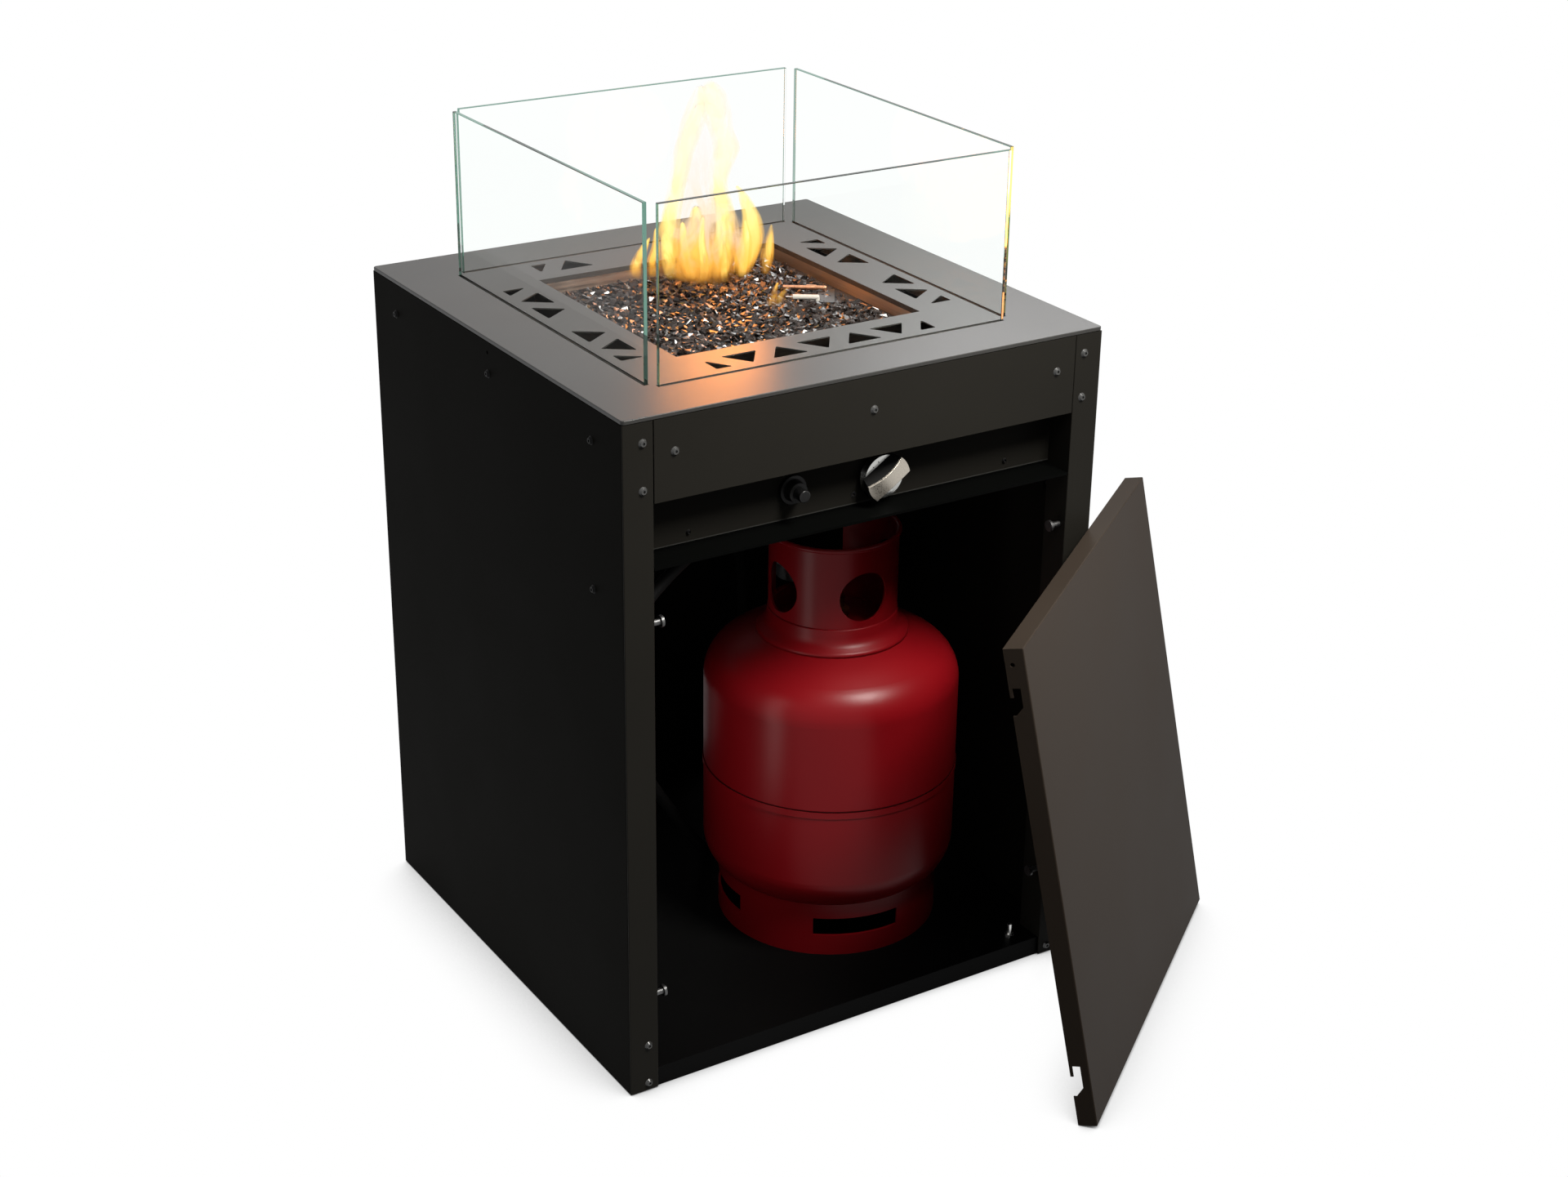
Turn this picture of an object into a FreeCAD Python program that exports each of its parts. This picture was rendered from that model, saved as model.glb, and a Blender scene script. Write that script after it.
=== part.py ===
import FreeCAD, Part
import math
import os
import re

import Sketcher
from FreeCAD import Placement, Rotation, Vector

# A gas fire pit table: a square steel cabinet with a glass guard round its burner, its door
# taken off and leaning on the front right corner, and the gas cylinder standing inside.
# The origin is the middle of the cabinet's footprint on the floor. +X is right along the
# front, +Y is to the back and +Z is up. Everything is in millimetres.

os.makedirs("parts", exist_ok=True)
doc = FreeCAD.newDocument("FirePitTable")

# Driving sizes
sizes = {
    # cabinet
    "width": 600,
    "depth": 600,
    "height": 795,
    "sheet": 1.5,
    "fit": 0.2,
    "touch_gap": 0.3,
    "floor_gap": 1,
    "base_height": 23.5,
    "base_lip": 14,
    "post_width": 35,
    "flange_width": 27,
    "seam": 1,
    "recess": 38,
    "apron_tall": 89,
    "apron_ledge": 9,
    "recess_tall": 71,
    "shelf_lip": 3,
    "shelf_setback": 0.8,
    "frame_height": 45,
    "frame_ledge": 25,
    "tab_depth": 45,
    "tab_drop": 55,
    # table top with its air holes
    "hem": 4,
    "hem_gap": 1,
    "corner_round": 4,
    "edge_round": 1,
    "well": 312,
    "well_lip": 6,
    "air_inner": 178.7,
    "air_outer": 210.7,
    "air_base": 44,
    "air_pitch": 47,
    "air_end": 139,
    "air_round": 1.6,
    "spacer_radius": 8,
    "spacer_inset": 16,
    "spacer_pitch": 200,
    # glass guard
    "pane_offset": 226.5,
    "pane_length": 435.4,
    "pane_rise": 191,
    "pane_thickness": 5,
    "pane_seat": 16,
    "pane_bevel": 0.6,
    "slot_play": 0.75,
    "pad_thickness": 2,
    "pad_length": 40,
    "pad_inset": 60,
    # burner
    "tray_gap": 0.5,
    "tray_depth": 56,
    "tray_flange": 16,
    "bed_drop": 20,
    "burner_radius": 85,
    "burner_tube": 8,
    "burner_rise": 16,
    "hub_radius": 15,
    "neck_radius": 9.8,
    "neck_drop": 14,
    "port_radius": 1.3,
    "port_count": 16,
    "mixer_radius": 14,
    "mixer_length": 47,
    "air_window": 10,
    "air_window_rise": 14,
    "jet_flange": 6,
    "jet_drop": 18,
    "jet_radius": 9,
    "jet_reach": 22,
    "pipe_radius": 4,
    "shield_width": 330,
    "shield_gap": 22,
    "shield_post": 5,
    "shield_post_inset": 30,
    # igniter and flame sensor beside the burner
    "pilot_x": 125,
    "pilot_angle": 147,
    "pilot_rise": 5,
    "sensor_radius": 2.4,
    "sensor_front": 43,
    "sensor_back": 6,
    "sensor_side": 16,
    "spark_radius": 3,
    "spark_front": 31,
    "spark_back": 3,
    "spark_side": 21,
    "spark_tip": 8,
    "pilot_drop": 12,
    "bracket_length": 18,
    "lead_radius": 1.4,
    # controls
    "knob_x": 34,
    "knob_rise": 32,
    "knob_radius": 27.5,
    "knob_depth": 25,
    "knob_travel": 4,
    "skirt_depth": 6,
    "bar_width": 16.5,
    "bar_base": 33,
    "bar_bow": 77,
    "bar_edge": 0.5,
    "bar_angle": 33,
    "face_thickness": 1.5,
    "stem_radius": 3.9,
    "plunger_radius": 7,
    "plunger_depth": 6,
    "bonnet_radius": 13,
    "bonnet_depth": 15,
    "valve_depth": 50,
    "valve_width": 34,
    "valve_tall": 30,
    "inlet_y": 34,
    "inlet_drop": 17,
    "inlet_reach": 23,
    "button_x": -77.4,
    "button_rise": 36.6,
    "bezel_radius": 16,
    "bezel_depth": 5,
    "collar_radius": 11,
    "collar_depth": 15,
    "cap_radius": 7,
    "cap_proud": 13,
    "cap_travel": 4,
    "battery_radius": 12,
    "battery_depth": 46,
    "ring_x": 2,
    "ring_rise": 14,
    "ring_radius": 3.2,
    "panel_screw_x": 203,
    # screws and door pins
    "screw_radius": 2.4,
    "screw_length": 12,
    "screw_head": 4.8,
    "screw_head_height": 2.6,
    "socket_radius": 1.8,
    "socket_depth": 1.5,
    "small_head": 2.8,
    "hole_play": 0.2,
    "screw_inset": 23,
    "screw_top": 27,
    "screw_upper": 78,
    "screw_middle": 400,
    "screw_lower": 59,
    "screw_base": 10,
    "apron_screw_inset": 60,
    "apron_screw_drop": 42,
    "side_screw_front": 66,
    "side_screw_back": 61,
    "side_screw_drop": 41,
    "tab_screw_drop": 40,
    "spare_hole_drop": 17,
    "pin_radius": 3.5,
    "pin_reach": 12,
    "pin_head_radius": 6.5,
    "pin_head": 3,
    "pin_inset": 11,
    "pin_drop": 65.7,
    "pin_lower": 116.3,
    "stud_x": 236,
    "stud_y": 18,
    "stud_rise": 18,
    # air slots in the back
    "louvre_width": 90,
    "louvre_height": 8,
    "louvre_pitch": 22,
    "louvre_count": 5,
    "louvre_columns": 3,
    "louvre_spacing": 195,
    "louvre_bottom": 90,
    "louvre_upper": 560,
    # door
    "door_width": 513,
    "door_tall": 567,
    "door_depth": 22,
    "door_yaw": 36.86,
    "door_foot": 135.9,
    "door_along": 345.6,
    "notch_inner": 9.5,
    "notch_outer": 18.5,
    "notch_top": 522.7,
    "notch_open": 31,
    "upper_tongue": 10.5,
    "upper_ramp": 9.5,
    "lower_tongue": 13,
    "lower_open": 25,
    "lower_ramp": 11,
    "door_hole_radius": 2.5,
    "door_hole_height": 549,
    "door_hole_in": 14,
    # gas cylinder
    "tank_x": 95.7,
    "tank_y": -85.9,
    "tank_radius": 152.5,
    "tank_wall": 3,
    "foot_rise": 28.5,
    "tank_tall": 361,
    "crown_radius": 244,
    "knuckle_radius": 47,
    "joint_rise": 167,
    "joint_height": 8,
    "joint_proud": 1,
    "foot_radius": 133.7,
    "foot_slot_width": 104,
    "foot_slot_rise": 26.5,
    "foot_slot_height": 23,
    "foot_slot_turn": 77,
    "guard_radius": 76.3,
    "guard_tall": 113.5,
    "guard_roll": 3,
    "guard_gap": 38,
    "guard_gap_rise": 9,
    "grip_radius": 30.5,
    "grip_drop": 63.5,
    "grip_spread": 94,
    "outlet_angle": 86,
    "outlet_rise": 30,
    "outlet_reach": 36,
    "outlet_radius": 11,
    "outlet_bore": 7,
    "neck_flange": 20,
    "tap_radius": 14,
    "tap_rise": 45,
    "wheel_radius": 27,
    "wheel_height": 13,
    "wheel_rise": 5,
    "wheel_grips": 8,
    "spindle_radius": 4,
    "spindle_reach": 6,
    "running_play": 0.05,
    # regulator and hose
    "nut_length": 24,
    "nut_radius": 14,
    "regulator_radius": 26,
    "regulator_tall": 28,
    "tail_reach": 12,
    "tail_radius": 6,
    "ferrule_length": 20,
    "ferrule_radius": 9,
    "hose_radius": 7,
}

# Heights that follow from the driving sizes, each by a formula
heights = {
    "apron_bottom": "height - hem - hem_gap - apron_tall",
    "shelf_height": "apron_bottom - recess_tall",
    "tab_bottom": "shelf_height - tab_drop",
    "tab_screw_height": "shelf_height - tab_screw_drop",
    "knob_z": "shelf_height + knob_rise",
    "button_z": "shelf_height + button_rise",
    "ring_z": "shelf_height + ring_rise",
    "pin_upper": "shelf_height - pin_drop",
    "tank_bottom": "base_height + foot_rise",
    "tank_top": "tank_bottom + tank_tall",
    "joint_bottom": "tank_bottom + joint_rise",
    "foot_slot_bottom": "base_height + foot_slot_rise",
    "guard_top": "tank_top + guard_tall",
    "guard_gap_bottom": "tank_top + guard_gap_rise",
    "grip_height": "guard_top - grip_drop",
    "outlet_height": "tank_top + outlet_rise",
    "tap_top": "tank_top + tap_rise",
}

sheet = doc.addObject("Spreadsheet::Sheet", "Sizes")
for row, (name, amount) in enumerate(sizes.items(), 1):
    sheet.set(f"A{row}", name)
    sheet.set(f"B{row}", str(amount))
    sheet.setAlias(f"B{row}", name)
doc.recompute()

nodes = []


def full_name(word):
    if word.group() in sizes:
        return f"Sizes.{word.group()}"
    return f"Heights.{word.group()}" if word.group() in heights else word.group()


def linked(formula):
    # a formula in the words above, as the document's objects read it
    return re.sub(r"[a-z][a-z_]+", full_name, str(formula))


places = doc.addObject("App::VarSet", "Heights")
for name in heights:
    places.addProperty("App::PropertyFloat", name)
for name, formula in heights.items():
    places.setExpression(name, linked(formula))
doc.recompute()


def value(name):
    return float(getattr(places, name)) if name in heights else float(sheet.get(name))


def bind(item, **formulas):
    for path, formula in formulas.items():
        item.setExpression(path.replace("_", "."), linked(formula))
    return item


def seat(item, x="0", y="0", z="0"):
    # place an object by formulas
    bind(item, Placement_Base_x=x, Placement_Base_y=y, Placement_Base_z=z)
    return item


def node(label, item):
    item.Label = label
    nodes.append(item)
    return item


# Plain solids

OUTWARD = {
    "up": Vector(0, 0, 1),
    "down": Vector(0, 0, -1),
    "left": Vector(-1, 0, 0),
    "right": Vector(1, 0, 0),
    "front": Vector(0, -1, 0),
    "back": Vector(0, 1, 0),
}


def turned(direction):
    return Placement(Vector(), Rotation(Vector(0, 0, 1), OUTWARD[direction]))


def block(x, y, z):
    # a box between two formulas along each axis
    box = doc.addObject("Part::Box", "Block")
    for path, (low, high) in (("Length", x), ("Width", y), ("Height", z)):
        box.setExpression(path, linked(f"({high}) - ({low})"))
    return seat(box, x[0], y[0], z[0])


def rod(at, radius, length, direction="up"):
    # a cylinder that starts at a point and runs in a direction
    item = doc.addObject("Part::Cylinder", "Rod")
    item.Placement = turned(direction)
    bind(item, Radius=radius, Height=length)
    return seat(item, *at)


def taper(at, start, end, length, direction="up"):
    item = doc.addObject("Part::Cone", "Taper")
    item.Placement = turned(direction)
    bind(item, Radius1=start, Radius2=end, Height=length)
    return seat(item, *at)


def hexagon(at, radius, length, direction="up"):
    item = doc.addObject("Part::Prism", "Hexagon")
    item.Polygon = 6
    item.Placement = turned(direction)
    bind(item, Circumradius=radius, Height=length)
    return seat(item, *at)


def fuse(*items):
    whole = doc.addObject("Part::MultiFuse", "Whole")
    whole.Shapes = list(items)
    whole.Refine = True
    return whole


def common(*items):
    whole = doc.addObject("Part::MultiCommon", "Common")
    whole.Shapes = list(items)
    return whole


def cut(base, *tools):
    rest = doc.addObject("Part::Cut", "Rest")
    rest.Base = base
    rest.Tool = tools[0] if len(tools) == 1 else group(*tools)
    return rest


def group(*items):
    bunch = doc.addObject("Part::Compound", "Group")
    bunch.Links = list(items)
    return bunch


def mirrored(source, across=Vector(1, 0, 0)):
    other = doc.addObject("Part::Mirroring", "Mirrored")
    other.Source = source
    other.Normal = across
    return other


def copies(master, places, direction="up"):
    # links to one master at several places, each given by three formulas
    links = []
    for place in places:
        link = doc.addObject("App::Link", "Copy")
        link.LinkedObject = master
        link.LinkTransform = True
        link.Placement = turned(direction)
        links.append(seat(link, *place))
    return links


def quarter_turns(master):
    links = []
    for quarter in range(4):
        link = doc.addObject("App::Link", "Side")
        link.LinkedObject = master
        link.LinkTransform = True
        link.Placement = Placement(Vector(), Rotation(Vector(0, 0, 1), 90 * quarter))
        links.append(link)
    return links


def softened(item, radius, chosen):
    # a fillet on the edges of a shape that the test chooses
    doc.recompute()
    smooth = doc.addObject("Part::Fillet", "Softened")
    smooth.Base = item
    smooth.Edges = [
        (number, radius, radius)
        for number, edge in enumerate(item.Shape.Edges, 1)
        if chosen(edge)
    ]
    return smooth


# PartDesign bodies


def body(label):
    return doc.addObject("PartDesign::Body", label)


def sketch_on(part_body, role, *loops):
    # closed straight-sided loops whose corners are pairs of formulas
    plane = next(item for item in part_body.Origin.OriginFeatures if item.Role == role)
    sketch = part_body.newObject("Sketcher::SketchObject", "Outline")
    sketch.AttachmentSupport = (plane, [""])
    sketch.MapMode = "FlatFace"
    for loop in loops:
        draw_loop(sketch, loop)
    return sketch


def draw_loop(sketch, corners):
    first = sketch.GeometryCount
    count = len(corners)
    start = [
        Vector(math.cos(2 * math.pi * turn / count), math.sin(2 * math.pi * turn / count), 0)
        for turn in range(count)
    ]
    for turn in range(count):
        sketch.addGeometry(Part.LineSegment(start[turn], start[(turn + 1) % count]), False)
    for turn in range(count):
        following = first + (turn + 1) % count
        sketch.addConstraint(Sketcher.Constraint("Coincident", first + turn, 2, following, 1))
    for turn, (across, along) in enumerate(corners):
        for kind, formula in (("DistanceX", across), ("DistanceY", along)):
            rule = Sketcher.Constraint(kind, -1, 1, first + turn, 1, 1.0)
            number = sketch.addConstraint(rule)
            sketch.setExpression(f"Constraints[{number}]", linked(formula))


def rectangle(x, y):
    return [(x[0], y[0]), (x[1], y[0]), (x[1], y[1]), (x[0], y[1])]


def pad(part_body, sketch, length):
    feature = part_body.newObject("PartDesign::Pad", "Pad")
    feature.Profile = sketch
    return bind(feature, Length=length)


def pocket(part_body, sketch, length, reverse=True):
    feature = part_body.newObject("PartDesign::Pocket", "Pocket")
    feature.Profile = sketch
    feature.Reversed = reverse
    return bind(feature, Length=length)


def spin(part_body, sketch):
    feature = part_body.newObject("PartDesign::Revolution", "Revolution")
    feature.Profile = sketch
    feature.ReferenceAxis = (sketch, ["V_Axis"])
    feature.Angle = 360
    return feature


def drilled(part_body, radius, height, away):
    # a round hole or scallop along Z, at a distance from the middle
    feature = part_body.newObject("PartDesign::SubtractiveCylinder", "Drilled")
    plane = next(item for item in part_body.Origin.OriginFeatures if item.Role == "XY_Plane")
    feature.AttachmentSupport = (plane, [""])
    feature.MapMode = "FlatFace"
    bind(feature, Radius=radius, Height=height)
    feature.setExpression(".AttachmentOffset.Base.x", linked(away))
    return feature


def polar(part_body, feature, axis_role, count, angle="360"):
    axis = next(item for item in part_body.Origin.OriginFeatures if item.Role == axis_role)
    pattern = part_body.newObject("PartDesign::PolarPattern", "Pattern")
    pattern.Originals = [feature]
    pattern.Axis = (axis, [""])
    bind(pattern, Occurrences=count, Angle=angle)
    part_body.Tip = pattern
    return pattern


def row_of(part_body, feature, axis_role, count, length):
    axis = next(item for item in part_body.Origin.OriginFeatures if item.Role == axis_role)
    pattern = part_body.newObject("PartDesign::LinearPattern", "Pattern")
    pattern.Originals = [feature]
    pattern.Direction = (axis, [""])
    bind(pattern, Occurrences=count, Length=length)
    part_body.Tip = pattern
    return pattern


def rounded(part_body, radius, chosen):
    # a fillet on the tip's edges that the test chooses
    doc.recompute()
    base = part_body.Tip
    names = [
        f"Edge{number}" for number, edge in enumerate(base.Shape.Edges, 1) if chosen(edge)
    ]
    fillet = part_body.newObject("PartDesign::Fillet", "Fillet")
    fillet.Base = (base, names)
    return bind(fillet, Radius=radius)


def upright(edge):
    box = edge.BoundBox
    return box.ZLength > 0.01 and box.XLength < 0.01 and box.YLength < 0.01


# Places that several pieces share

front = "-depth / 2"
back = "depth / 2"
side = "width / 2"
panel_top = "(height - hem - hem_gap)"
frame_top = "(height - hem - hem_gap - sheet - fit)"
frame_bottom = "(height - hem - hem_gap - sheet - fit - frame_height)"
frame_front = "(-depth / 2 + 2 * sheet + 2 * fit)"
frame_back = "(depth / 2 - 2 * sheet - 2 * fit)"
frame_side = "(width / 2 - sheet - fit)"
post_inside = "(width / 2 - post_width)"
recess_face = "(-depth / 2 + recess)"
recess_back = "(-depth / 2 + recess + sheet)"
plate_under = "(height - sheet)"


def both(formula):
    return (f"-({formula})", formula)


# Screws: a button head over the surface, with its shank through the sheets behind it


def screw(head_radius):
    head = common(
        taper(("0", "0", "0"), head_radius, f"{head_radius} * 0.62", "screw_head_height"),
        rod(("0", "0", "0"), head_radius, "screw_head_height"),
    )
    shank = rod(("0", "0", "-screw_length"), "screw_radius", "screw_length")
    socket = hexagon(
        ("0", "0", "screw_head_height - socket_depth"), "socket_radius", "socket_depth + 1"
    )
    return cut(fuse(head, shank), socket)


button_screw = screw("screw_head")
panel_screw = screw("small_head")
screw_hole = rod(("0", "0", "-screw_length - 1"), "screw_radius + hole_play", "screw_length + 2")

post_heights = ["height - screw_top", "height - screw_upper", "screw_lower", "screw_base"]
post_places = [(f"-({side} - screw_inset)", front, rise) for rise in post_heights]
apron_places = [
    (across, front, "height - apron_screw_drop")
    for across in (f"-({side} - apron_screw_inset)", "0", f"{side} - apron_screw_inset")
]
side_places = [
    (f"-{side}", along, "height - side_screw_drop")
    for along in (f"{front} + side_screw_front", "0", f"{back} - side_screw_back")
]
side_places.append((f"-{side}", f"{front} + side_screw_front", "tab_screw_height"))
back_heights = ["height - apron_screw_drop", "screw_middle", "screw_lower", "screw_base"]
back_places = [(f"-({side} - screw_inset)", back, rise) for rise in back_heights]
middle_places = [("0", f"{back} - sheet - fit", rise) for rise in (back_heights[0], "screw_base")]
panel_places = [
    (across, recess_face, "ring_z") for across in ("-panel_screw_x", "panel_screw_x")
]

post_holes = group(*copies(screw_hole, post_places, "front"))
apron_holes = group(*copies(screw_hole, apron_places, "front"))
side_holes = group(*copies(screw_hole, side_places, "left"))
back_holes = group(*copies(screw_hole, back_places, "back"))
middle_holes = group(*copies(screw_hole, middle_places, "back"))
panel_holes = group(*copies(screw_hole, panel_places, "front"))
spare_hole = rod((f"-{side} - 1", "0", "height - spare_hole_drop"), "2", "sheet + 2", "right")

post_screws = group(*copies(button_screw, post_places, "front"))
side_screws = group(*copies(button_screw, side_places, "left"))
back_screws = group(*copies(button_screw, back_places, "back"))
node("post_screws", group(post_screws, mirrored(post_screws)))
node("apron_screws", group(*copies(button_screw, apron_places, "front")))
node("side_screws", group(side_screws, mirrored(side_screws)))
node(
    "back_screws",
    group(back_screws, mirrored(back_screws), *copies(button_screw, middle_places, "back")),
)
node("panel_screws", group(*copies(panel_screw, panel_places, "front")))
all_holes = [
    post_holes,
    mirrored(post_holes),
    apron_holes,
    side_holes,
    mirrored(side_holes),
    back_holes,
    mirrored(back_holes),
    middle_holes,
]

# Base: an inverted tray that stands on the turned-in lip round its lower edge

base_outer = block(both(frame_side), (frame_front, frame_back), ("0", "base_height"))
base_inner = block(
    both(f"{frame_side} - sheet"),
    (f"{frame_front} + sheet", f"{frame_back} - sheet"),
    ("sheet", "base_height - sheet"),
)
base_mouth = block(
    both(f"{frame_side} - base_lip"),
    (f"{frame_front} + base_lip", f"{frame_back} - base_lip"),
    ("-1", "sheet + 1"),
)
node("base_pan", cut(base_outer, base_inner, base_mouth, *all_holes))

# Top frame: a ring of angle inside the panels, which carries the table top on spacers

frame_outer = block(both(frame_side), (frame_front, frame_back), (frame_bottom, frame_top))
frame_inner = block(
    both(f"{frame_side} - sheet"),
    (f"{frame_front} + sheet", f"{frame_back} - sheet"),
    (f"{frame_bottom} - 1", f"{frame_top} - sheet"),
)
frame_mouth = block(
    both(f"{frame_side} - frame_ledge"),
    (f"{frame_front} + frame_ledge", f"{frame_back} - frame_ledge"),
    (f"{frame_top} - sheet - 1", f"{frame_top} + 1"),
)
node("top_frame", cut(frame_outer, frame_inner, frame_mouth, *all_holes))

spacer = rod(("0", "0", frame_top), "spacer_radius", f"{plate_under} - {frame_top}")
spacer_line = f"{frame_side} - spacer_inset"
spacer_front = f"{frame_front} + spacer_inset"
spacer_back = f"{frame_back} - spacer_inset"
spacer_places = [
    (across, along, "0")
    for across in ("-spacer_pitch", "spacer_pitch")
    for along in (spacer_front, spacer_back)
]
spacer_places += [
    (across, along, "0")
    for across in both(spacer_line)
    for along in ("-spacer_pitch", "spacer_pitch")
]
node("top_spacers", group(*copies(spacer, spacer_places)))

# Side panels: one folded sheet each, with a hidden front flange and a rear flange

panel_face = f"-{side}"
panel_front = f"{front} + sheet + fit"
left_body = body("LeftPanel")
left_outline = sketch_on(
    left_body,
    "XY_Plane",
    [
        (panel_face, panel_front),
        (f"{panel_face} + flange_width", panel_front),
        (f"{panel_face} + flange_width", f"{panel_front} + sheet"),
        (f"{panel_face} + sheet", f"{panel_front} + sheet"),
        (f"{panel_face} + sheet", f"{back} - sheet"),
        (f"{panel_face} + flange_width", f"{back} - sheet"),
        (f"{panel_face} + flange_width", back),
        (panel_face, back),
    ],
)
pad(left_body, left_outline, f"{panel_top} - floor_gap")
rounded(
    left_body,
    "sheet * 0.9",
    lambda edge: upright(edge) and min(abs(edge.BoundBox.XMin + value("width") / 2), 1) < 0.01,
)
left_panel = cut(
    seat(left_body, z="floor_gap"), post_holes, side_holes, back_holes, spare_hole
)
node("left_panel", left_panel)
node("right_panel", mirrored(left_panel))

# Front posts: a face over the panel's flange and a return that goes back beside the opening

post_body = body("LeftPost")
post_outline = sketch_on(
    post_body, "XY_Plane", rectangle((f"-{side}", f"-{post_inside}"), (front, f"{front} + sheet"))
)
pad(post_body, post_outline, f"{panel_top} - floor_gap")
rounded(
    post_body,
    "sheet * 0.6",
    lambda edge: upright(edge) and edge.BoundBox.YMin < -value("depth") / 2 + 0.01,
)
post_return = block(
    (f"-{post_inside} - sheet", f"-{post_inside}"),
    (f"{front} + sheet / 2", f"{recess_face} - fit"),
    ("base_height + fit", f"{frame_bottom} - fit"),
)
left_post = cut(fuse(seat(post_body, z="floor_gap"), post_return), post_holes)
node("left_post", left_post)
node("right_post", mirrored(left_post))

# Back panel: a flat sheet inside the rear flanges, with two banks of air slots

back_body = body("BackPanel")
pad(
    back_body,
    sketch_on(back_body, "XZ_Plane", rectangle(both(frame_side), ("floor_gap", panel_top))),
    "sheet",
)
for bank_bottom in ("louvre_bottom", "louvre_upper"):
    slot_loops = [
        rectangle(
            (
                f"{column} * louvre_spacing - louvre_width / 2",
                f"{column} * louvre_spacing + louvre_width / 2",
            ),
            (bank_bottom, f"{bank_bottom} + louvre_height"),
        )
        for column in ("-(louvre_columns - 1) / 2", "0", "(louvre_columns - 1) / 2")
    ]
    bank = pocket(back_body, sketch_on(back_body, "XZ_Plane", *slot_loops), "sheet * 3", False)
    bank.Midplane = True
    row_of(back_body, bank, "Z_Axis", "louvre_count", "louvre_pitch * (louvre_count - 1)")
seat(back_body, y=f"{back} - sheet - fit")
node("back_panel", cut(back_body, back_holes, mirrored(back_holes), middle_holes))

# Apron: the fixed strip of the front above the controls, folded back at both edges

apron_side = f"{post_inside} - seam"
apron_face = block(both(apron_side), (front, f"{front} + sheet"), ("apron_bottom", panel_top))
apron_fold = block(
    both(apron_side), (front, f"{front} + apron_ledge"), (f"{panel_top} - sheet", panel_top)
)
apron_ceiling = block(
    both(apron_side), (front, f"{recess_face} - fit"), ("apron_bottom", "apron_bottom + sheet")
)
node("apron", cut(fuse(apron_face, apron_fold, apron_ceiling), apron_holes))

# Control panel: set back behind the front, with a shelf that comes forward below it

control_face = block(
    both(frame_side),
    (recess_face, recess_back),
    ("shelf_height - sheet", f"{frame_bottom} - fit"),
)
control_shelf = block(
    both(apron_side),
    (f"{front} + shelf_setback", recess_back),
    ("shelf_height - sheet", "shelf_height"),
)
control_lip = block(
    both(apron_side),
    (f"{front} + shelf_setback", f"{front} + shelf_setback + sheet"),
    ("shelf_height - shelf_lip", "shelf_height"),
)
control_tab = block(
    (f"-{frame_side}", f"-{frame_side} + sheet"),
    (recess_face, f"{recess_face} + tab_depth"),
    ("tab_bottom", f"{frame_bottom} - fit"),
)
stem_hole = rod(("knob_x", f"{recess_face} - 1", "knob_z"), "stem_radius + 1", "sheet + 2", "back")
button_hole = rod(
    ("button_x", f"{recess_face} - 1", "button_z"), "collar_radius", "sheet + 2", "back"
)
ring_hole = rod(("ring_x", f"{recess_face} - 1", "ring_z"), "ring_radius - 1", "sheet + 2", "back")
control_panel = cut(
    fuse(control_face, control_shelf, control_lip, control_tab, mirrored(control_tab)),
    stem_hole,
    button_hole,
    ring_hole,
    panel_holes,
    side_holes,
    mirrored(side_holes),
)
node("control_panel", control_panel)

ring_flange = rod(("ring_x", recess_face, "ring_z"), "ring_radius", "0.6", "front")
ring_tube = rod(("ring_x", recess_face, "ring_z"), "ring_radius - 1", "sheet + 1", "back")
ring_bore = rod(("ring_x", f"{recess_face} - 2", "ring_z"), "ring_radius - 1.6", "sheet + 6", "back")
node("panel_eyelet", cut(fuse(ring_flange, ring_tube), ring_bore))

# Table top: one sheet with a hem, the burner well, four pane slots and triangular air holes

plate_body = body("TopPlate")
pad(
    plate_body,
    sketch_on(plate_body, "XY_Plane", rectangle(both(side), both(back))),
    "hem",
)
rounded(plate_body, "corner_round", upright)
rounded(
    plate_body,
    "edge_round",
    lambda edge: edge.BoundBox.ZMin > value("hem") - 0.01,
)


def plate_cut(*loops):
    # holes right through the table top
    hole = pocket(plate_body, sketch_on(plate_body, "XY_Plane", *loops), "hem * 2")
    hole.Midplane = True
    return hole


def air_hole(centre, points_out):
    # a triangle along the front side, either way round
    base_line, point = ("-air_inner", "-air_outer") if points_out else ("-air_outer", "-air_inner")
    return [
        (f"{centre} - air_base / 2", base_line),
        (f"{centre} + air_base / 2", base_line),
        (centre, point),
    ]


def on_left(loop):
    # a loop drawn for the front side, turned to the left side
    return [(across, f"-({along})") for along, across in loop]


def end_hole(hand):
    # the half triangle that ends each row
    slope_start = "(3 * air_pitch - air_base / 2)"
    share = f"(air_end - {slope_start}) / (air_base / 2)"
    return [
        (f"{hand} * {slope_start}", "-air_outer"),
        (f"{hand} * air_end", "-air_outer"),
        (f"{hand} * air_end", f"-air_outer + (air_outer - air_inner) * {share}"),
    ]


hem_hollow = pocket(
    plate_body,
    sketch_on(
        plate_body, "XY_Plane", rectangle(both(f"{side} - sheet"), both(f"{back} - sheet"))
    ),
    "hem - sheet",
)
plate_cut(rectangle(both("well / 2"), both("well / 2")))
slot_width = "(pane_thickness / 2 + slot_play)"
slot_half = "(pane_length / 2 + slot_play)"
pane_slot = plate_cut(
    rectangle(both(slot_half), (f"-pane_offset - {slot_width}", f"-pane_offset + {slot_width}"))
)
polar(plate_body, pane_slot, "Z_Axis", "4")
outer_holes = plate_cut(
    air_hole("-2 * air_pitch", True),
    air_hole("2 * air_pitch", True),
    end_hole("-1"),
    end_hole("1"),
)
polar(plate_body, outer_holes, "Z_Axis", "4")
inner_holes = plate_cut(on_left(air_hole("-air_pitch", False)), on_left(air_hole("air_pitch", False)))
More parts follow.
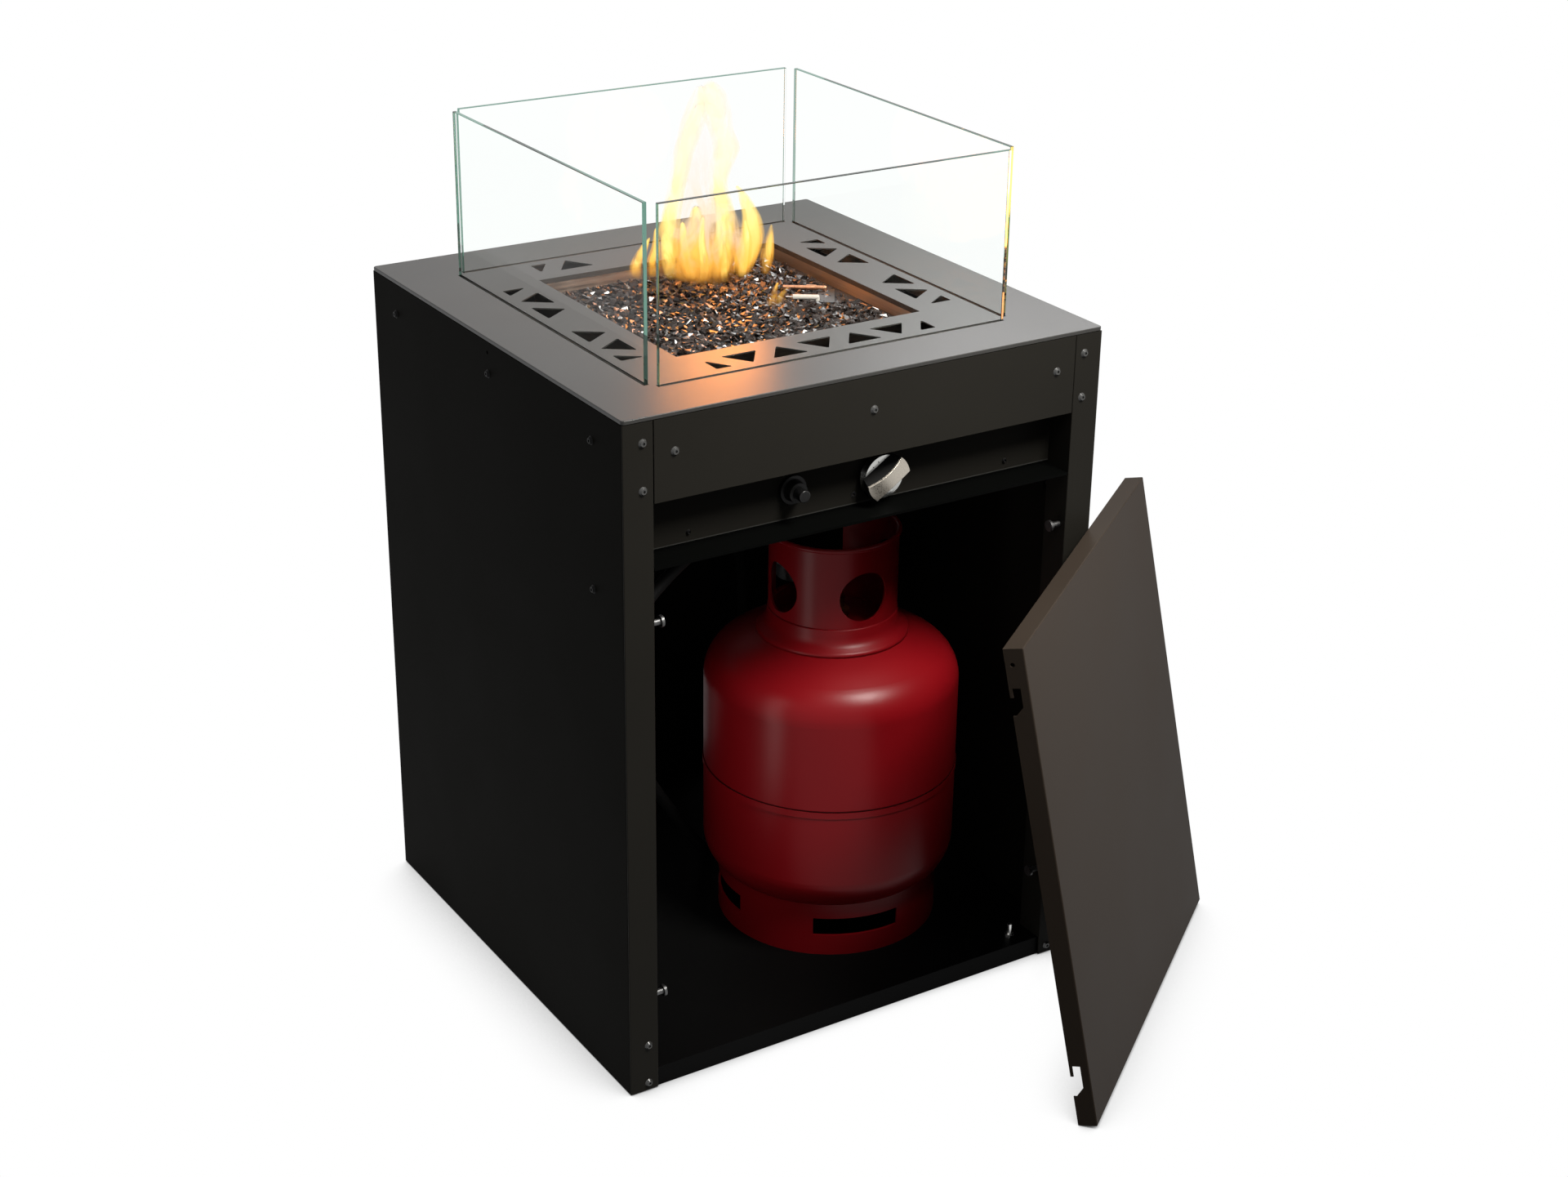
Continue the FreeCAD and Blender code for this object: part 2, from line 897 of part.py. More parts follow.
polar(plate_body, inner_holes, "Z_Axis", "3", "180")
plate_cut(air_hole("0", True))


def in_air_hole(edge):
    middle = edge.CenterOfMass
    reach = max(abs(middle.x), abs(middle.y))
    low, high = value("air_inner") - 0.1, value("air_outer") + 0.1
    return upright(edge) and edge.Length < value("hem") and low < reach < high


rounded(plate_body, "air_round", in_air_hole)
seat(plate_body, z="height - hem")

well_lip = cut(
    block(
        both("well / 2 + sheet"), both("well / 2 + sheet"), ("height - well_lip", plate_under)
    ),
    block(both("well / 2"), both("well / 2"), ("height - well_lip - 1", "height + 1")),
)
node("top_plate", fuse(plate_body, well_lip))

# Glass guard: four panes that stand on rubber pads in channels under the slots

seat_top = "(height - pane_seat)"
channel_floor = "(height - pane_seat - pad_thickness)"
channel_outer = block(
    both(slot_half),
    (f"-pane_offset - {slot_width} - sheet", f"-pane_offset + {slot_width} + sheet"),
    (f"{channel_floor} - sheet", plate_under),
)
channel_inner = block(
    both(f"{slot_half} + 1"),
    (f"-pane_offset - {slot_width}", f"-pane_offset + {slot_width}"),
    (channel_floor, f"{plate_under} + 1"),
)
channel = cut(channel_outer, channel_inner)
node("pane_channels", group(*quarter_turns(channel)))

pane_pad = block(
    ("-pad_length / 2", "pad_length / 2"),
    (f"-pane_offset - {slot_width} + fit", f"-pane_offset + {slot_width} - fit"),
    (channel_floor, seat_top),
)
pad_line = "pane_length / 2 - pad_inset"
pad_pair = group(*copies(pane_pad, [(across, "0", "0") for across in both(pad_line)]))
node("pane_pads", group(*quarter_turns(pad_pair)))

for quarter, label in enumerate(("pane_front", "pane_right", "pane_back", "pane_left")):
    pane_body = body(f"Pane{quarter}")
    pane_outline = sketch_on(
        pane_body,
        "XY_Plane",
        rectangle(
            both("pane_length / 2"),
            ("-pane_offset - pane_thickness / 2", "-pane_offset + pane_thickness / 2"),
        ),
    )
    pad(pane_body, pane_outline, "pane_seat + pane_rise")
    doc.recompute()
    sheet_of_glass = pane_body.Tip
    bevel = pane_body.newObject("PartDesign::Chamfer", "Bevel")
    bevel.Base = (sheet_of_glass, [f"Edge{number}" for number in range(1, 13)])
    bind(bevel, Size="pane_bevel")
    pane_body.Placement = Placement(Vector(), Rotation(Vector(0, 0, 1), 90 * quarter))
    node(label, seat(pane_body, z=seat_top))

# Burner tray: hangs by its flange under the well, full of crushed glass

tray_inner = "(well / 2 + sheet + tray_gap)"
tray_bottom = "(height - sheet - tray_depth)"
tray_floor = "(height - tray_depth)"
bed_top = "(height - bed_drop)"
tray_shell = cut(
    block(both(f"{tray_inner} + sheet"), both(f"{tray_inner} + sheet"), (tray_bottom, plate_under)),
    block(both(tray_inner), both(tray_inner), (tray_floor, "height")),
)
tray_rim = cut(
    block(
        both(f"{tray_inner} + tray_flange"),
        both(f"{tray_inner} + tray_flange"),
        (f"{plate_under} - sheet", plate_under),
    ),
    block(both(tray_inner), both(tray_inner), (tray_floor, "height")),
)

# Burner: a ring of tube with gas ports, on a hub whose neck goes down through the tray

burner_middle = f"({tray_floor} + burner_rise)"
hub_top = f"({burner_middle} + burner_tube + 3)"
ring_body = body("BurnerRing")
ring_tube_body = ring_body.newObject("PartDesign::AdditiveTorus", "Tube")
bind(ring_tube_body, Radius1="burner_radius", Radius2="burner_tube")
port = drilled(ring_body, "port_radius", "burner_tube * 2", "burner_radius")
polar(ring_body, port, "Z_Axis", "port_count")
seat(ring_body, z=burner_middle)


def hub(play):
    # the hub with its neck and its two arms, thicker by a play where it is a cutting tool
    arm_start = ("-burner_radius", "0", burner_middle)
    arm = rod(arm_start, f"burner_tube * 0.7 + {play}", "burner_radius * 2", "right")
    head_tall = f"{hub_top} - {tray_floor} + {play}"
    head = rod(("0", "0", tray_floor), f"hub_radius + {play}", head_tall)
    neck = rod(
        ("0", "0", f"{tray_bottom} - neck_drop"),
        f"neck_radius + {play}",
        f"{tray_floor} - {tray_bottom} + neck_drop",
    )
    return fuse(arm, head, neck)


burner = fuse(ring_body, hub("0"))
node("burner_ring", burner)


def torus(at, ring_radius, tube_radius):
    item = doc.addObject("Part::Torus", "Ring")
    bind(item, Radius1=ring_radius, Radius2=tube_radius)
    return seat(item, *at)


# Igniter and flame sensor: two rods that lie over the glass and bend down through the tray


def pilot_frame(item):
    # turn a piece drawn along +X towards the burner
    item.Placement = Placement(Vector(), Rotation(Vector(0, 0, 1), 0))
    bind(item, Placement_Rotation_Angle="pilot_angle", Placement_Base_x="pilot_x")
    return item


pilot_axis = f"({bed_top} + pilot_rise)"
stem_bottom = f"({tray_bottom} - pilot_drop)"


def pilot_rod(radius, tip, tail, across):
    # a level rod with a ball elbow and a stem that goes down through the tray
    level = rod((f"-({tail})", across, pilot_axis), radius, f"{tip} + {tail}", "right")
    elbow = doc.addObject("Part::Sphere", "Elbow")
    bind(elbow, Radius=radius)
    seat(elbow, f"-({tail})", across, pilot_axis)
    stem = rod((f"-({tail})", across, stem_bottom), radius, f"{pilot_axis} - {stem_bottom}")
    return [level, elbow, stem]


sensor_nut = rod(("4", "-sensor_side", pilot_axis), "sensor_radius + 0.9", "12", "right")
sensor_parts = pilot_rod("sensor_radius", "sensor_front", "sensor_back", "-sensor_side")
node("flame_sensor", pilot_frame(fuse(sensor_nut, *sensor_parts)))
spark_parts = pilot_rod("spark_radius", "spark_front", "-spark_back", "spark_side")
node("spark_insulator", pilot_frame(fuse(*spark_parts)))
spark_wire = rod(("spark_front", "spark_side", pilot_axis), "0.9", "spark_tip", "right")
node("spark_tip", pilot_frame(group(spark_wire)))


def stem_hole_at(back_end, across, radius):
    return rod((back_end, across, f"{stem_bottom} - 30"), f"{radius} + 0.5", "tray_depth + 60")


stem_holes = pilot_frame(
    group(
        stem_hole_at("-sensor_back", "-sensor_side", "sensor_radius"),
        stem_hole_at("spark_back", "spark_side", "spark_radius"),
    )
)
neck_hole = rod(("0", "0", f"{tray_bottom} - 1"), "neck_radius + hole_play", "sheet + 2")
node("burner_tray", cut(fuse(tray_shell, tray_rim), neck_hole, stem_holes))

# The bracket that holds both rods stands on the tray floor, buried in the glass

bracket_back = "-bracket_length / 2 - 8"
bracket_front = "bracket_length / 2 - 8"
bracket_span = ("-sensor_side - 7", "spark_side + 7")
bracket_leg = block((bracket_front, f"{bracket_front} + sheet"), ("-8", "8"), (tray_floor, bed_top))
bracket_deck = block(
    (bracket_back, f"{bracket_front} + sheet"),
    bracket_span,
    (bed_top, f"{bed_top} + sheet"),
)
bracket_raw = fuse(bracket_leg, bracket_deck)
bracket_bores = group(
    rod(("-sensor_back", "-sensor_side", tray_floor), "sensor_radius + 0.4", "tray_depth"),
    rod(("spark_back", "spark_side", tray_floor), "spark_radius + 0.4", "tray_depth"),
)
node("pilot_bracket", pilot_frame(cut(bracket_raw, bracket_bores)))
bracket_room = block(
    (f"{bracket_front} - 0.5", f"{bracket_front} + sheet + 0.5"),
    ("-8.5", "8.5"),
    (tray_floor, "height"),
)

bed_side = both(f"{tray_inner} - fit")
bed_block = block(bed_side, bed_side, (tray_floor, bed_top))
ring_space = torus(("0", "0", burner_middle), "burner_radius", "burner_tube + 0.5")
bracket_slot = pilot_frame(group(bracket_room))
node("glass_bed", cut(bed_block, ring_space, hub("0.5"), stem_holes, bracket_slot))

# Mixer tube with air windows, and the jet that stops its lower end

mixer_bottom = f"({tray_bottom} - mixer_length)"
window_z = f"{mixer_bottom} + air_window_rise"
window_reach = "mixer_radius * 2 + 2"
mixer = cut(
    rod(("0", "0", mixer_bottom), "mixer_radius", "mixer_length"),
    rod(("0", "0", f"{mixer_bottom} - 1"), "neck_radius + hole_play", "mixer_length + 2"),
    rod(("-mixer_radius - 1", "0", window_z), "air_window / 2", window_reach, "right"),
    rod(("0", "-mixer_radius - 1", window_z), "air_window / 2", window_reach, "back"),
)
node("mixer_tube", mixer)
jet_middle = f"({mixer_bottom} - jet_flange - jet_drop / 2)"
jet = fuse(
    rod(("0", "0", f"{mixer_bottom} - jet_flange"), "mixer_radius", "jet_flange"),
    rod(("0", "0", f"{mixer_bottom} - jet_flange - jet_drop"), "jet_radius", "jet_drop"),
    rod(("0", "0", mixer_bottom), "3.5", "8"),
    rod(("0", "0", jet_middle), "pipe_radius + 3", "jet_reach", "front"),
)
node("gas_jet", jet)

# Heat shield under the tray, on four posts

shield_top = f"({tray_bottom} - shield_gap)"
shield_line = "shield_width / 2 - shield_post_inset"
shield_side = both("shield_width / 2")
node(
    "heat_shield",
    cut(
        block(shield_side, shield_side, (f"{shield_top} - sheet", shield_top)),
        rod(("0", "0", f"{shield_top} - sheet - 1"), "mixer_radius + 6", "sheet + 2"),
        pilot_frame(
            group(
                rod(("-sensor_back", "-sensor_side", f"{shield_top} - 5"), "8", "10"),
                rod(("spark_back", "spark_side", f"{shield_top} - 5"), "8", "10"),
            )
        ),
    ),
)
shield_post = rod(("0", "0", shield_top), "shield_post", "shield_gap")
shield_places = [
    (across, along, "0") for across in both(shield_line) for along in both(shield_line)
]
node("shield_posts", group(*copies(shield_post, shield_places)))

# Gas valve behind the panel, with the plunger that the knob pushes

bonnet_end = f"({recess_back} + bonnet_depth)"
valve_end = f"({recess_back} + valve_depth)"
plunger_front = f"({recess_back} + 3.3)"
valve_body = fuse(
    rod(("knob_x", recess_back, "knob_z"), "bonnet_radius", "bonnet_depth", "back"),
    block(
        ("knob_x - valve_width / 2", "knob_x + valve_width / 2"),
        (bonnet_end, valve_end),
        ("knob_z - valve_tall / 2 - 4", "knob_z + valve_tall / 2"),
    ),
    rod(("knob_x", valve_end, "knob_z"), "pipe_radius + 3", "8", "back"),
    rod(
        ("knob_x - valve_width / 2 + 1", f"{recess_back} + inlet_y", "knob_z - inlet_drop"),
        "tail_radius + 2",
        "10",
        "left",
    ),
)
plunger_room = "plunger_depth + knob_travel + 1"
plunger_start = ("knob_x", f"{plunger_front} - fit", "knob_z")
valve_room = group(
    rod(plunger_start, "plunger_radius + fit", plunger_room, "back"),
    rod(("knob_x", f"{recess_back} - 1", "knob_z"), "stem_radius + fit", "5", "back"),
)
node("gas_valve", cut(valve_body, valve_room))
node(
    "valve_plunger",
    rod(("knob_x", plunger_front, "knob_z"), "plunger_radius", "plunger_depth", "back"),
)
knob_front = f"({recess_face} - knob_depth)"
skirt_back = f"({recess_face} - knob_travel - 1)"
skirt_front = f"({skirt_back} - skirt_depth)"
stem_length = f"{plunger_front} - {skirt_front}"
node(
    "knob_stem", rod(("knob_x", plunger_front, "knob_z"), "stem_radius", stem_length, "front")
)


def knob_frame(item):
    # pieces of the knob are drawn about the origin with the grip along X
    item.Placement = Placement(Vector(), Rotation(Vector(0, -1, 0), 45))
    return bind(
        item,
        Placement_Rotation_Angle="bar_angle",
        Placement_Base_x="knob_x",
        Placement_Base_z="knob_z",
    )


skirt = cut(
    taper(("0", skirt_back, "0"), "knob_radius", "knob_radius - 3", "skirt_depth", "front"),
    rod(("0", f"{skirt_back} + 1", "0"), "stem_radius + 0.01", "skirt_depth + 2", "front"),
)
node("knob_skirt", knob_frame(skirt))
bar_wedge = bind(
    doc.addObject("Part::Wedge", "Bar"),
    Xmin="-knob_radius",
    X2min="-knob_radius",
    Xmax="knob_radius",
    X2max="knob_radius",
    Ymin=knob_front,
    Ymax=skirt_front,
    Zmin="-bar_width / 2",
    Zmax="bar_width / 2",
    Z2min="-bar_base / 2",
    Z2max="bar_base / 2",
)
bar_ends = rod(
    ("0", skirt_front, "0"), "knob_radius - 0.5", f"{skirt_front} - {knob_front}", "front"
)
bar_middle = ("0", f"{knob_front} + bar_bow", "-knob_radius")
bar_inner = rod(bar_middle, "bar_bow - face_thickness", "2 * knob_radius")
bar_outer = rod(bar_middle, "bar_bow", "2 * knob_radius")
node("knob_grip", knob_frame(common(bar_wedge, bar_ends, bar_inner)))
face_plate = cut(common(bar_wedge, bar_ends, bar_outer), bar_inner)


def on_bow(edge):
    # an edge that lies on the outer side of the bowed plate
    bow = value("bar_bow")
    middle = Vector(0, face_plate.Shape.BoundBox.YMin + bow, 0)
    ends = [edge.valueAt(edge.FirstParameter), edge.valueAt(edge.LastParameter)]
    return all(math.hypot(end.x, end.y - middle.y) > bow - 0.05 for end in ends)


face_dot = rod(("knob_radius - 5", f"{knob_front} - 1", "0"), "1.1", "3", "back")
node("knob_face", knob_frame(cut(softened(face_plate, value("bar_edge"), on_bow), face_dot)))

# Igniter: a ribbed bezel on the panel, a push cap in it and the battery holder behind

cap_front = f"({recess_face} - collar_depth - cap_proud)"
bezel = fuse(
    rod(("button_x", recess_face, "button_z"), "bezel_radius", "bezel_depth", "front"),
    taper(
        ("button_x", f"{recess_face} - bezel_depth", "button_z"),
        "collar_radius + 1.5",
        "collar_radius",
        "collar_depth - bezel_depth",
        "front",
    ),
    rod(("button_x", recess_face, "button_z"), "collar_radius - hole_play", "sheet", "back"),
)
cap_start = ("button_x", f"{recess_face} - collar_depth - 1", "button_z")
cap_room = rod(cap_start, "cap_radius + fit", "collar_depth - 1", "back")
node("igniter_bezel", cut(bezel, cap_room))
cap_length = "(cap_proud + collar_depth - cap_travel - 4)"
cap_body = body("IgniterCap")
cap_loop = [
    ("0", "0"),
    ("cap_radius", "0"),
    ("cap_radius", cap_length),
    ("0", cap_length),
]
spin(cap_body, sketch_on(cap_body, "XZ_Plane", cap_loop))


def on_cap_front(edge):
    edge_box = edge.BoundBox
    return edge_box.ZMin > 1 and edge_box.ZLength < 0.01 and edge_box.XLength > 1


rounded(cap_body, "cap_radius * 0.22", on_cap_front)
cap_body.Placement = turned("front")
seat(cap_body, "button_x", f"{cap_front} + {cap_length}", "button_z")
node("igniter_cap", cap_body)
node(
    "igniter_battery",
    rod(("button_x", recess_back, "button_z"), "battery_radius", "battery_depth", "back"),
)

# Door pins: shouldered screws through the returns, on which the door hangs

pin_places = [(f"-{post_inside}", f"{front} + pin_inset", rise) for rise in ("pin_lower", "pin_upper")]
pin = fuse(
    rod(("0", "0", "0"), "pin_radius", "pin_reach"),
    rod(("0", "0", "pin_reach"), "pin_head_radius", "pin_head"),
    rod(("0", "0", "-sheet - 4"), "pin_radius - 1.5", "sheet + 5"),
    hexagon(("0", "0", "-sheet - 4"), "pin_radius * 1.5", "4"),
)
left_pins = group(*copies(pin, pin_places, "right"))
node("door_pins", group(left_pins, mirrored(left_pins)))
pin_holes = group(
    *copies(rod(("0", "0", "-sheet - 1"), "pin_radius - 1.3", "sheet + 2"), pin_places, "right")
)
left_post.Tool = group(post_holes, pin_holes)

stud = fuse(
    rod(("stud_x", f"{frame_front} + stud_y", "base_height"), "3", "stud_rise"),
    hexagon(("stud_x", f"{frame_front} + stud_y", "base_height"), "5.8", "5"),
)
node("base_stud", stud)

# Door: a shallow pan with hooked notches in both side flanges, leaning on the cabinet

notch_bottom = "(notch_top - notch_open)"
pin_spacing = "(pin_upper - pin_lower)"
lower_top = f"(notch_top - {pin_spacing})"
lower_mouth = f"({lower_top} - lower_tongue)"
door_body = body("DoorPanel")
pad(
    door_body,
    sketch_on(door_body, "XY_Plane", rectangle(("0", "door_width"), ("0", "door_depth"))),
    "door_tall",
)
rounded(door_body, "sheet * 0.9", lambda edge: edge.BoundBox.YMax < 0.01)
door_hollow = block(
    ("sheet", "door_width - sheet"), ("sheet", "door_depth + 1"), ("sheet", "door_tall - sheet")
)
notch_body = body("DoorNotches")
upper_notch = [
    ("notch_inner", f"{notch_bottom} + upper_ramp"),
    ("notch_outer", notch_bottom),
    ("door_depth + 1", notch_bottom),
    ("door_depth + 1", "notch_top - upper_tongue"),
    ("notch_outer", "notch_top - upper_tongue"),
    ("notch_outer", "notch_top"),
    ("notch_inner", "notch_top"),
]
lower_notch = [
    ("notch_inner", f"{lower_mouth} - lower_open + lower_ramp"),
    ("notch_outer", f"{lower_mouth} - lower_open"),
    ("door_depth + 1", f"{lower_mouth} - lower_open"),
    ("door_depth + 1", lower_mouth),
    ("notch_outer", lower_mouth),
    ("notch_outer", lower_top),
    ("notch_inner", lower_top),
]
pad(notch_body, sketch_on(notch_body, "YZ_Plane", upper_notch, lower_notch), "door_width + 2")
seat(notch_body, x="-1")
door_hole_start = ("-1", "door_hole_in", "door_hole_height")
door_hole = rod(door_hole_start, "door_hole_radius", "door_width + 2", "right")
door = cut(door_body, door_hollow, notch_body, door_hole)

door_reach = math.hypot(value("door_tall"), value("door_depth"))
door_lean = math.degrees(
    math.asin((value("door_foot") - value("touch_gap")) / door_reach)
    - math.atan2(value("door_depth"), value("door_tall"))
)
door_turn = Rotation(Vector(0, 0, 1), value("door_yaw")) * Rotation(Vector(1, 0, 0), -door_lean)
door_side = Rotation(Vector(0, 0, 1), value("door_yaw")).multVec(Vector(1, 0, 0))
door_out = Rotation(Vector(0, 0, 1), value("door_yaw")).multVec(Vector(0, -1, 0))
corner = Vector(value("width") / 2, -value("depth") / 2, 0)
door_start = corner + door_out * value("door_foot") - door_side * value("door_along")
door_start.z = value("door_depth") * math.sin(math.radians(door_lean))
door.Placement = Placement(door_start, door_turn)
node("door_panel", door)
print("door leans", round(door_lean, 2), "degrees, outward", [round(x, 4) for x in door_out])

# Gas cylinder, drawn about its own axis with the valve outlet along +X and then turned


def tank_frame(item):
    item.Placement = Placement(Vector(), Rotation(Vector(0, 0, 1), 0))
    bind(
        item,
        Placement_Base_x="tank_x",
        Placement_Base_y="tank_y",
        Placement_Rotation_Angle="outlet_angle",
    )
    return item


def ball(height, radius):
    item = doc.addObject("Part::Sphere", "Ball")
    bind(item, Radius=radius)
    return seat(item, z=height)


def vessel(inset):
    # a drum between two crowned ends with rounded shoulders
    drum = common(
        rod(
            ("0", "0", f"tank_bottom + {inset}"),
            f"tank_radius - {inset}",
            f"tank_top - tank_bottom - 2 * {inset}",
        ),
        ball("tank_top - crown_radius", f"crown_radius - {inset}"),
        ball("tank_bottom + crown_radius", f"crown_radius - {inset}"),
    )
    doc.recompute()
    thinner = value("tank_wall") if inset == "tank_wall" else 0
    across = 2 * (value("tank_radius") - thinner)

    def on_shoulder(edge):
        edge_box = edge.BoundBox
        return edge_box.ZLength < 0.01 and abs(edge_box.XLength - across) < 0.01

    return softened(drum, value("knuckle_radius") - thinner, on_shoulder)


outer_vessel = vessel("0")
joint_band = rod(("0", "0", "joint_bottom"), "tank_radius + joint_proud", "joint_height")
tank = cut(fuse(outer_vessel, joint_band), vessel("tank_wall"))
node("tank_shell", tank_frame(tank))


def tube(bottom, top, radius):
    return cut(
        rod(("0", "0", bottom), radius, f"{top} - ({bottom})"),
        rod(("0", "0", f"{bottom} - 1"), f"{radius} - tank_wall", f"{top} - ({bottom}) + 2"),
    )


def turned_by(item, angle):
    # a group of one item, turned about the vertical axis by a formula
    bunch = group(item)
    bunch.Placement = Placement(Vector(), Rotation(Vector(0, 0, 1), 10))
    return bind(bunch, Placement_Rotation_Angle=angle)


foot_slot = block(
    ("foot_radius - 30", "foot_radius + 10"),
    both("foot_slot_width / 2"),
    ("foot_slot_bottom", "foot_slot_bottom + foot_slot_height"),
)
foot_slots = quarter_turns(turned_by(foot_slot, "foot_slot_turn"))
foot = cut(tube("base_height", "tank_bottom + 60", "foot_radius"), outer_vessel, *foot_slots)
node("tank_foot", tank_frame(foot))

guard_tube = fuse(
    tube("tank_top - 30", "guard_top - guard_roll", "guard_radius"),
    torus(("0", "0", "guard_top - guard_roll"), "guard_radius", "guard_roll"),
)
gap_body = body("GuardGap")
gap_reach = "(guard_radius + 20)"
pad(
    gap_body,
    sketch_on(
        gap_body,
        "XY_Plane",
        [
            ("0", "0"),
            (gap_reach, f"-{gap_reach} * tan(guard_gap * 1 deg)"),
            (gap_reach, f"{gap_reach} * tan(guard_gap * 1 deg)"),
        ],
    ),
    "guard_top - guard_gap_bottom + 5",
)
seat(gap_body, z="guard_gap_bottom")
far_grip = rod(("20 - guard_radius", "0", "grip_height"), "grip_radius", "40", "left")
side_grip = turned_by(
    rod(("guard_radius - 20", "0", "grip_height"), "grip_radius", "40", "right"), "grip_spread"
)
other_grip = mirrored(side_grip, Vector(0, 1, 0))
guard = cut(guard_tube, outer_vessel, gap_body, far_grip, side_grip, other_grip)
node("tank_guard", tank_frame(guard))

tap_raw = fuse(
    rod(("0", "0", "tank_top - 10"), "neck_flange", "16"),
    rod(("0", "0", "tank_top"), "tap_radius", "tap_top - tank_top"),
    rod(("0", "0", "tap_top"), "spindle_radius", "wheel_rise + spindle_reach"),
    rod(("0", "0", "outlet_height"), "outlet_radius", "outlet_reach", "right"),
)
tap = cut(
    tap_raw,
    outer_vessel,
    rod(("outlet_reach - 16", "0", "outlet_height"), "outlet_bore", "20", "right"),
)
node("tank_valve", tank_frame(tap))

wheel_body = body("HandWheel")
wheel_outline = [
    ("0", "0"),
    ("wheel_radius * 0.35", "0"),
    ("wheel_radius", "wheel_height * 0.25"),
    ("wheel_radius", "wheel_height"),
    ("wheel_radius * 0.7", "wheel_height"),
    ("wheel_radius * 0.55", "wheel_height * 0.6"),
    ("0", "wheel_height * 0.8"),
]
spin(wheel_body, sketch_on(wheel_body, "XZ_Plane", wheel_outline))
scallop = drilled(wheel_body, "wheel_radius * 0.2", "wheel_height", "wheel_radius * 1.08")
polar(wheel_body, scallop, "Z_Axis", "wheel_grips")
wheel_placed = cut(
    seat(wheel_body, z="tap_top + wheel_rise"),
    rod(
        ("0", "0", "tap_top"),
        "spindle_radius + running_play",
        "wheel_rise + spindle_reach + touch_gap",
    ),
)
node("valve_wheel", tank_frame(wheel_placed))

# Regulator: faces the cylinder valve's outlet, with the hose crimped on its tail

nut_start = "(outlet_reach + touch_gap)"
nut_end = f"({nut_start} + nut_length)"
regulator_middle = f"({nut_end} + regulator_radius + 1)"
tail_start = f"({regulator_middle} + regulator_radius)"
tail_end = f"({tail_start} + tail_reach)"
node(
    "regulator_nut",
    tank_frame(
        cut(
            hexagon((nut_start, "0", "outlet_height"), "nut_radius", "nut_length", "right"),
            rod((f"{nut_start} - 1", "0", "outlet_height"), "outlet_bore - 1", "6", "right"),
        )
    ),
)
regulator = fuse(
    rod(
        (regulator_middle, "0", "outlet_height - regulator_tall / 2"),
        "regulator_radius",
        "regulator_tall * 0.6",
    ),
    taper(
        (regulator_middle, "0", "outlet_height + regulator_tall * 0.1"),
        "regulator_radius",
        "regulator_radius * 0.55",
        "regulator_tall * 0.4",
    ),
    rod((nut_end, "0", "outlet_height"), "nut_radius * 0.7", "8", "right"),
    rod(
        (f"{tail_start} - 6", "0", "outlet_height"),
        "tail_radius",
        f"{tail_end} - {tail_start} + 6",
        "right",
    ),
)
node("regulator", tank_frame(regulator))
ferrule = rod((tail_end, "0", "outlet_height"), "ferrule_radius", "ferrule_length", "right")
valve_ferrule = rod(
    ("knob_x - valve_width / 2 - 9", f"{recess_back} + inlet_y", "knob_z - inlet_drop"),
    "ferrule_radius",
    "ferrule_length",
    "left",
)
node("hose_ferrules", group(tank_frame(group(ferrule)), valve_ferrule))

# Routed pieces: straight runs joined by arcs that are tangent to them


def route(points, share=0.45):
    # the centre line through hand-chosen points, with the smallest bend radius
    corners = [Vector(*point) for point in points]
    edges = []
    radii = []
    last = corners[0]
    for before, here, after in zip(corners, corners[1:], corners[2:]):
        incoming = (here - before).normalize()
        outgoing = (after - here).normalize()
        half_turn = incoming.getAngle(outgoing) / 2
        trim = share * min((here - before).Length, (after - here).Length)
        radii.append(trim / math.tan(half_turn))
        start = here - incoming * trim
        end = here + outgoing * trim
        towards = (outgoing - incoming).normalize()
        centre = here + towards * (radii[-1] / math.cos(half_turn))
        middle = centre - towards * radii[-1]
        edges.append(Part.LineSegment(last, start).toShape())
        edges.append(Part.Arc(start, middle, end).toShape())
        last = end
    edges.append(Part.LineSegment(last, corners[-1]).toShape())
    return Part.Wire(edges), radii


def routed(label, points, radius):
    wire, radii = route(points)
    first = wire.OrderedEdges[0]
    direction = first.tangentAt(first.FirstParameter)
    start = first.valueAt(first.FirstParameter)
    section = Part.Wire([Part.makeCircle(radius, start, direction)])
    solid = wire.makePipeShell([section], True, False)
    item = doc.addObject("Part::Feature", label.title().replace("_", ""))
    item.Shape = solid
    drawn = math.pi * radius * radius * wire.Length
    print(label, "length", round(wire.Length), "radii", [round(bend) for bend in radii])
    print(label, "volume over section times length", round(item.Shape.Volume / drawn, 4))
    return node(label, item)


knob_x, knob_z = value("knob_x"), value("knob_z")
panel_back = -value("depth") / 2 + value("recess") + value("sheet")
jet_z = (
    value("height") - value("sheet") - value("tray_depth") - value("mixer_length")
    - value("jet_flange") - value("jet_drop") / 2
)
pipe_start = panel_back + value("valve_depth") + 8
jet_mouth = -value("jet_reach")
pipe_run = jet_mouth - pipe_start
routed(
    "feed_pipe",
    [
        (knob_x, pipe_start, knob_z),
        (knob_x, pipe_start + 0.3 * pipe_run, knob_z),
        (0, pipe_start + 0.7 * pipe_run, jet_z),
        (0, jet_mouth, jet_z),
    ],
    value("pipe_radius"),
)

pilot_turn = Rotation(Vector(0, 0, 1), value("pilot_angle"))
stem_end = value("height") - value("sheet") - value("tray_depth") - value("pilot_drop")


def stem_foot(back_end, across):
    foot_place = pilot_turn.multVec(Vector(back_end, across, 0)) + Vector(value("pilot_x"), 0, stem_end)
    return foot_place


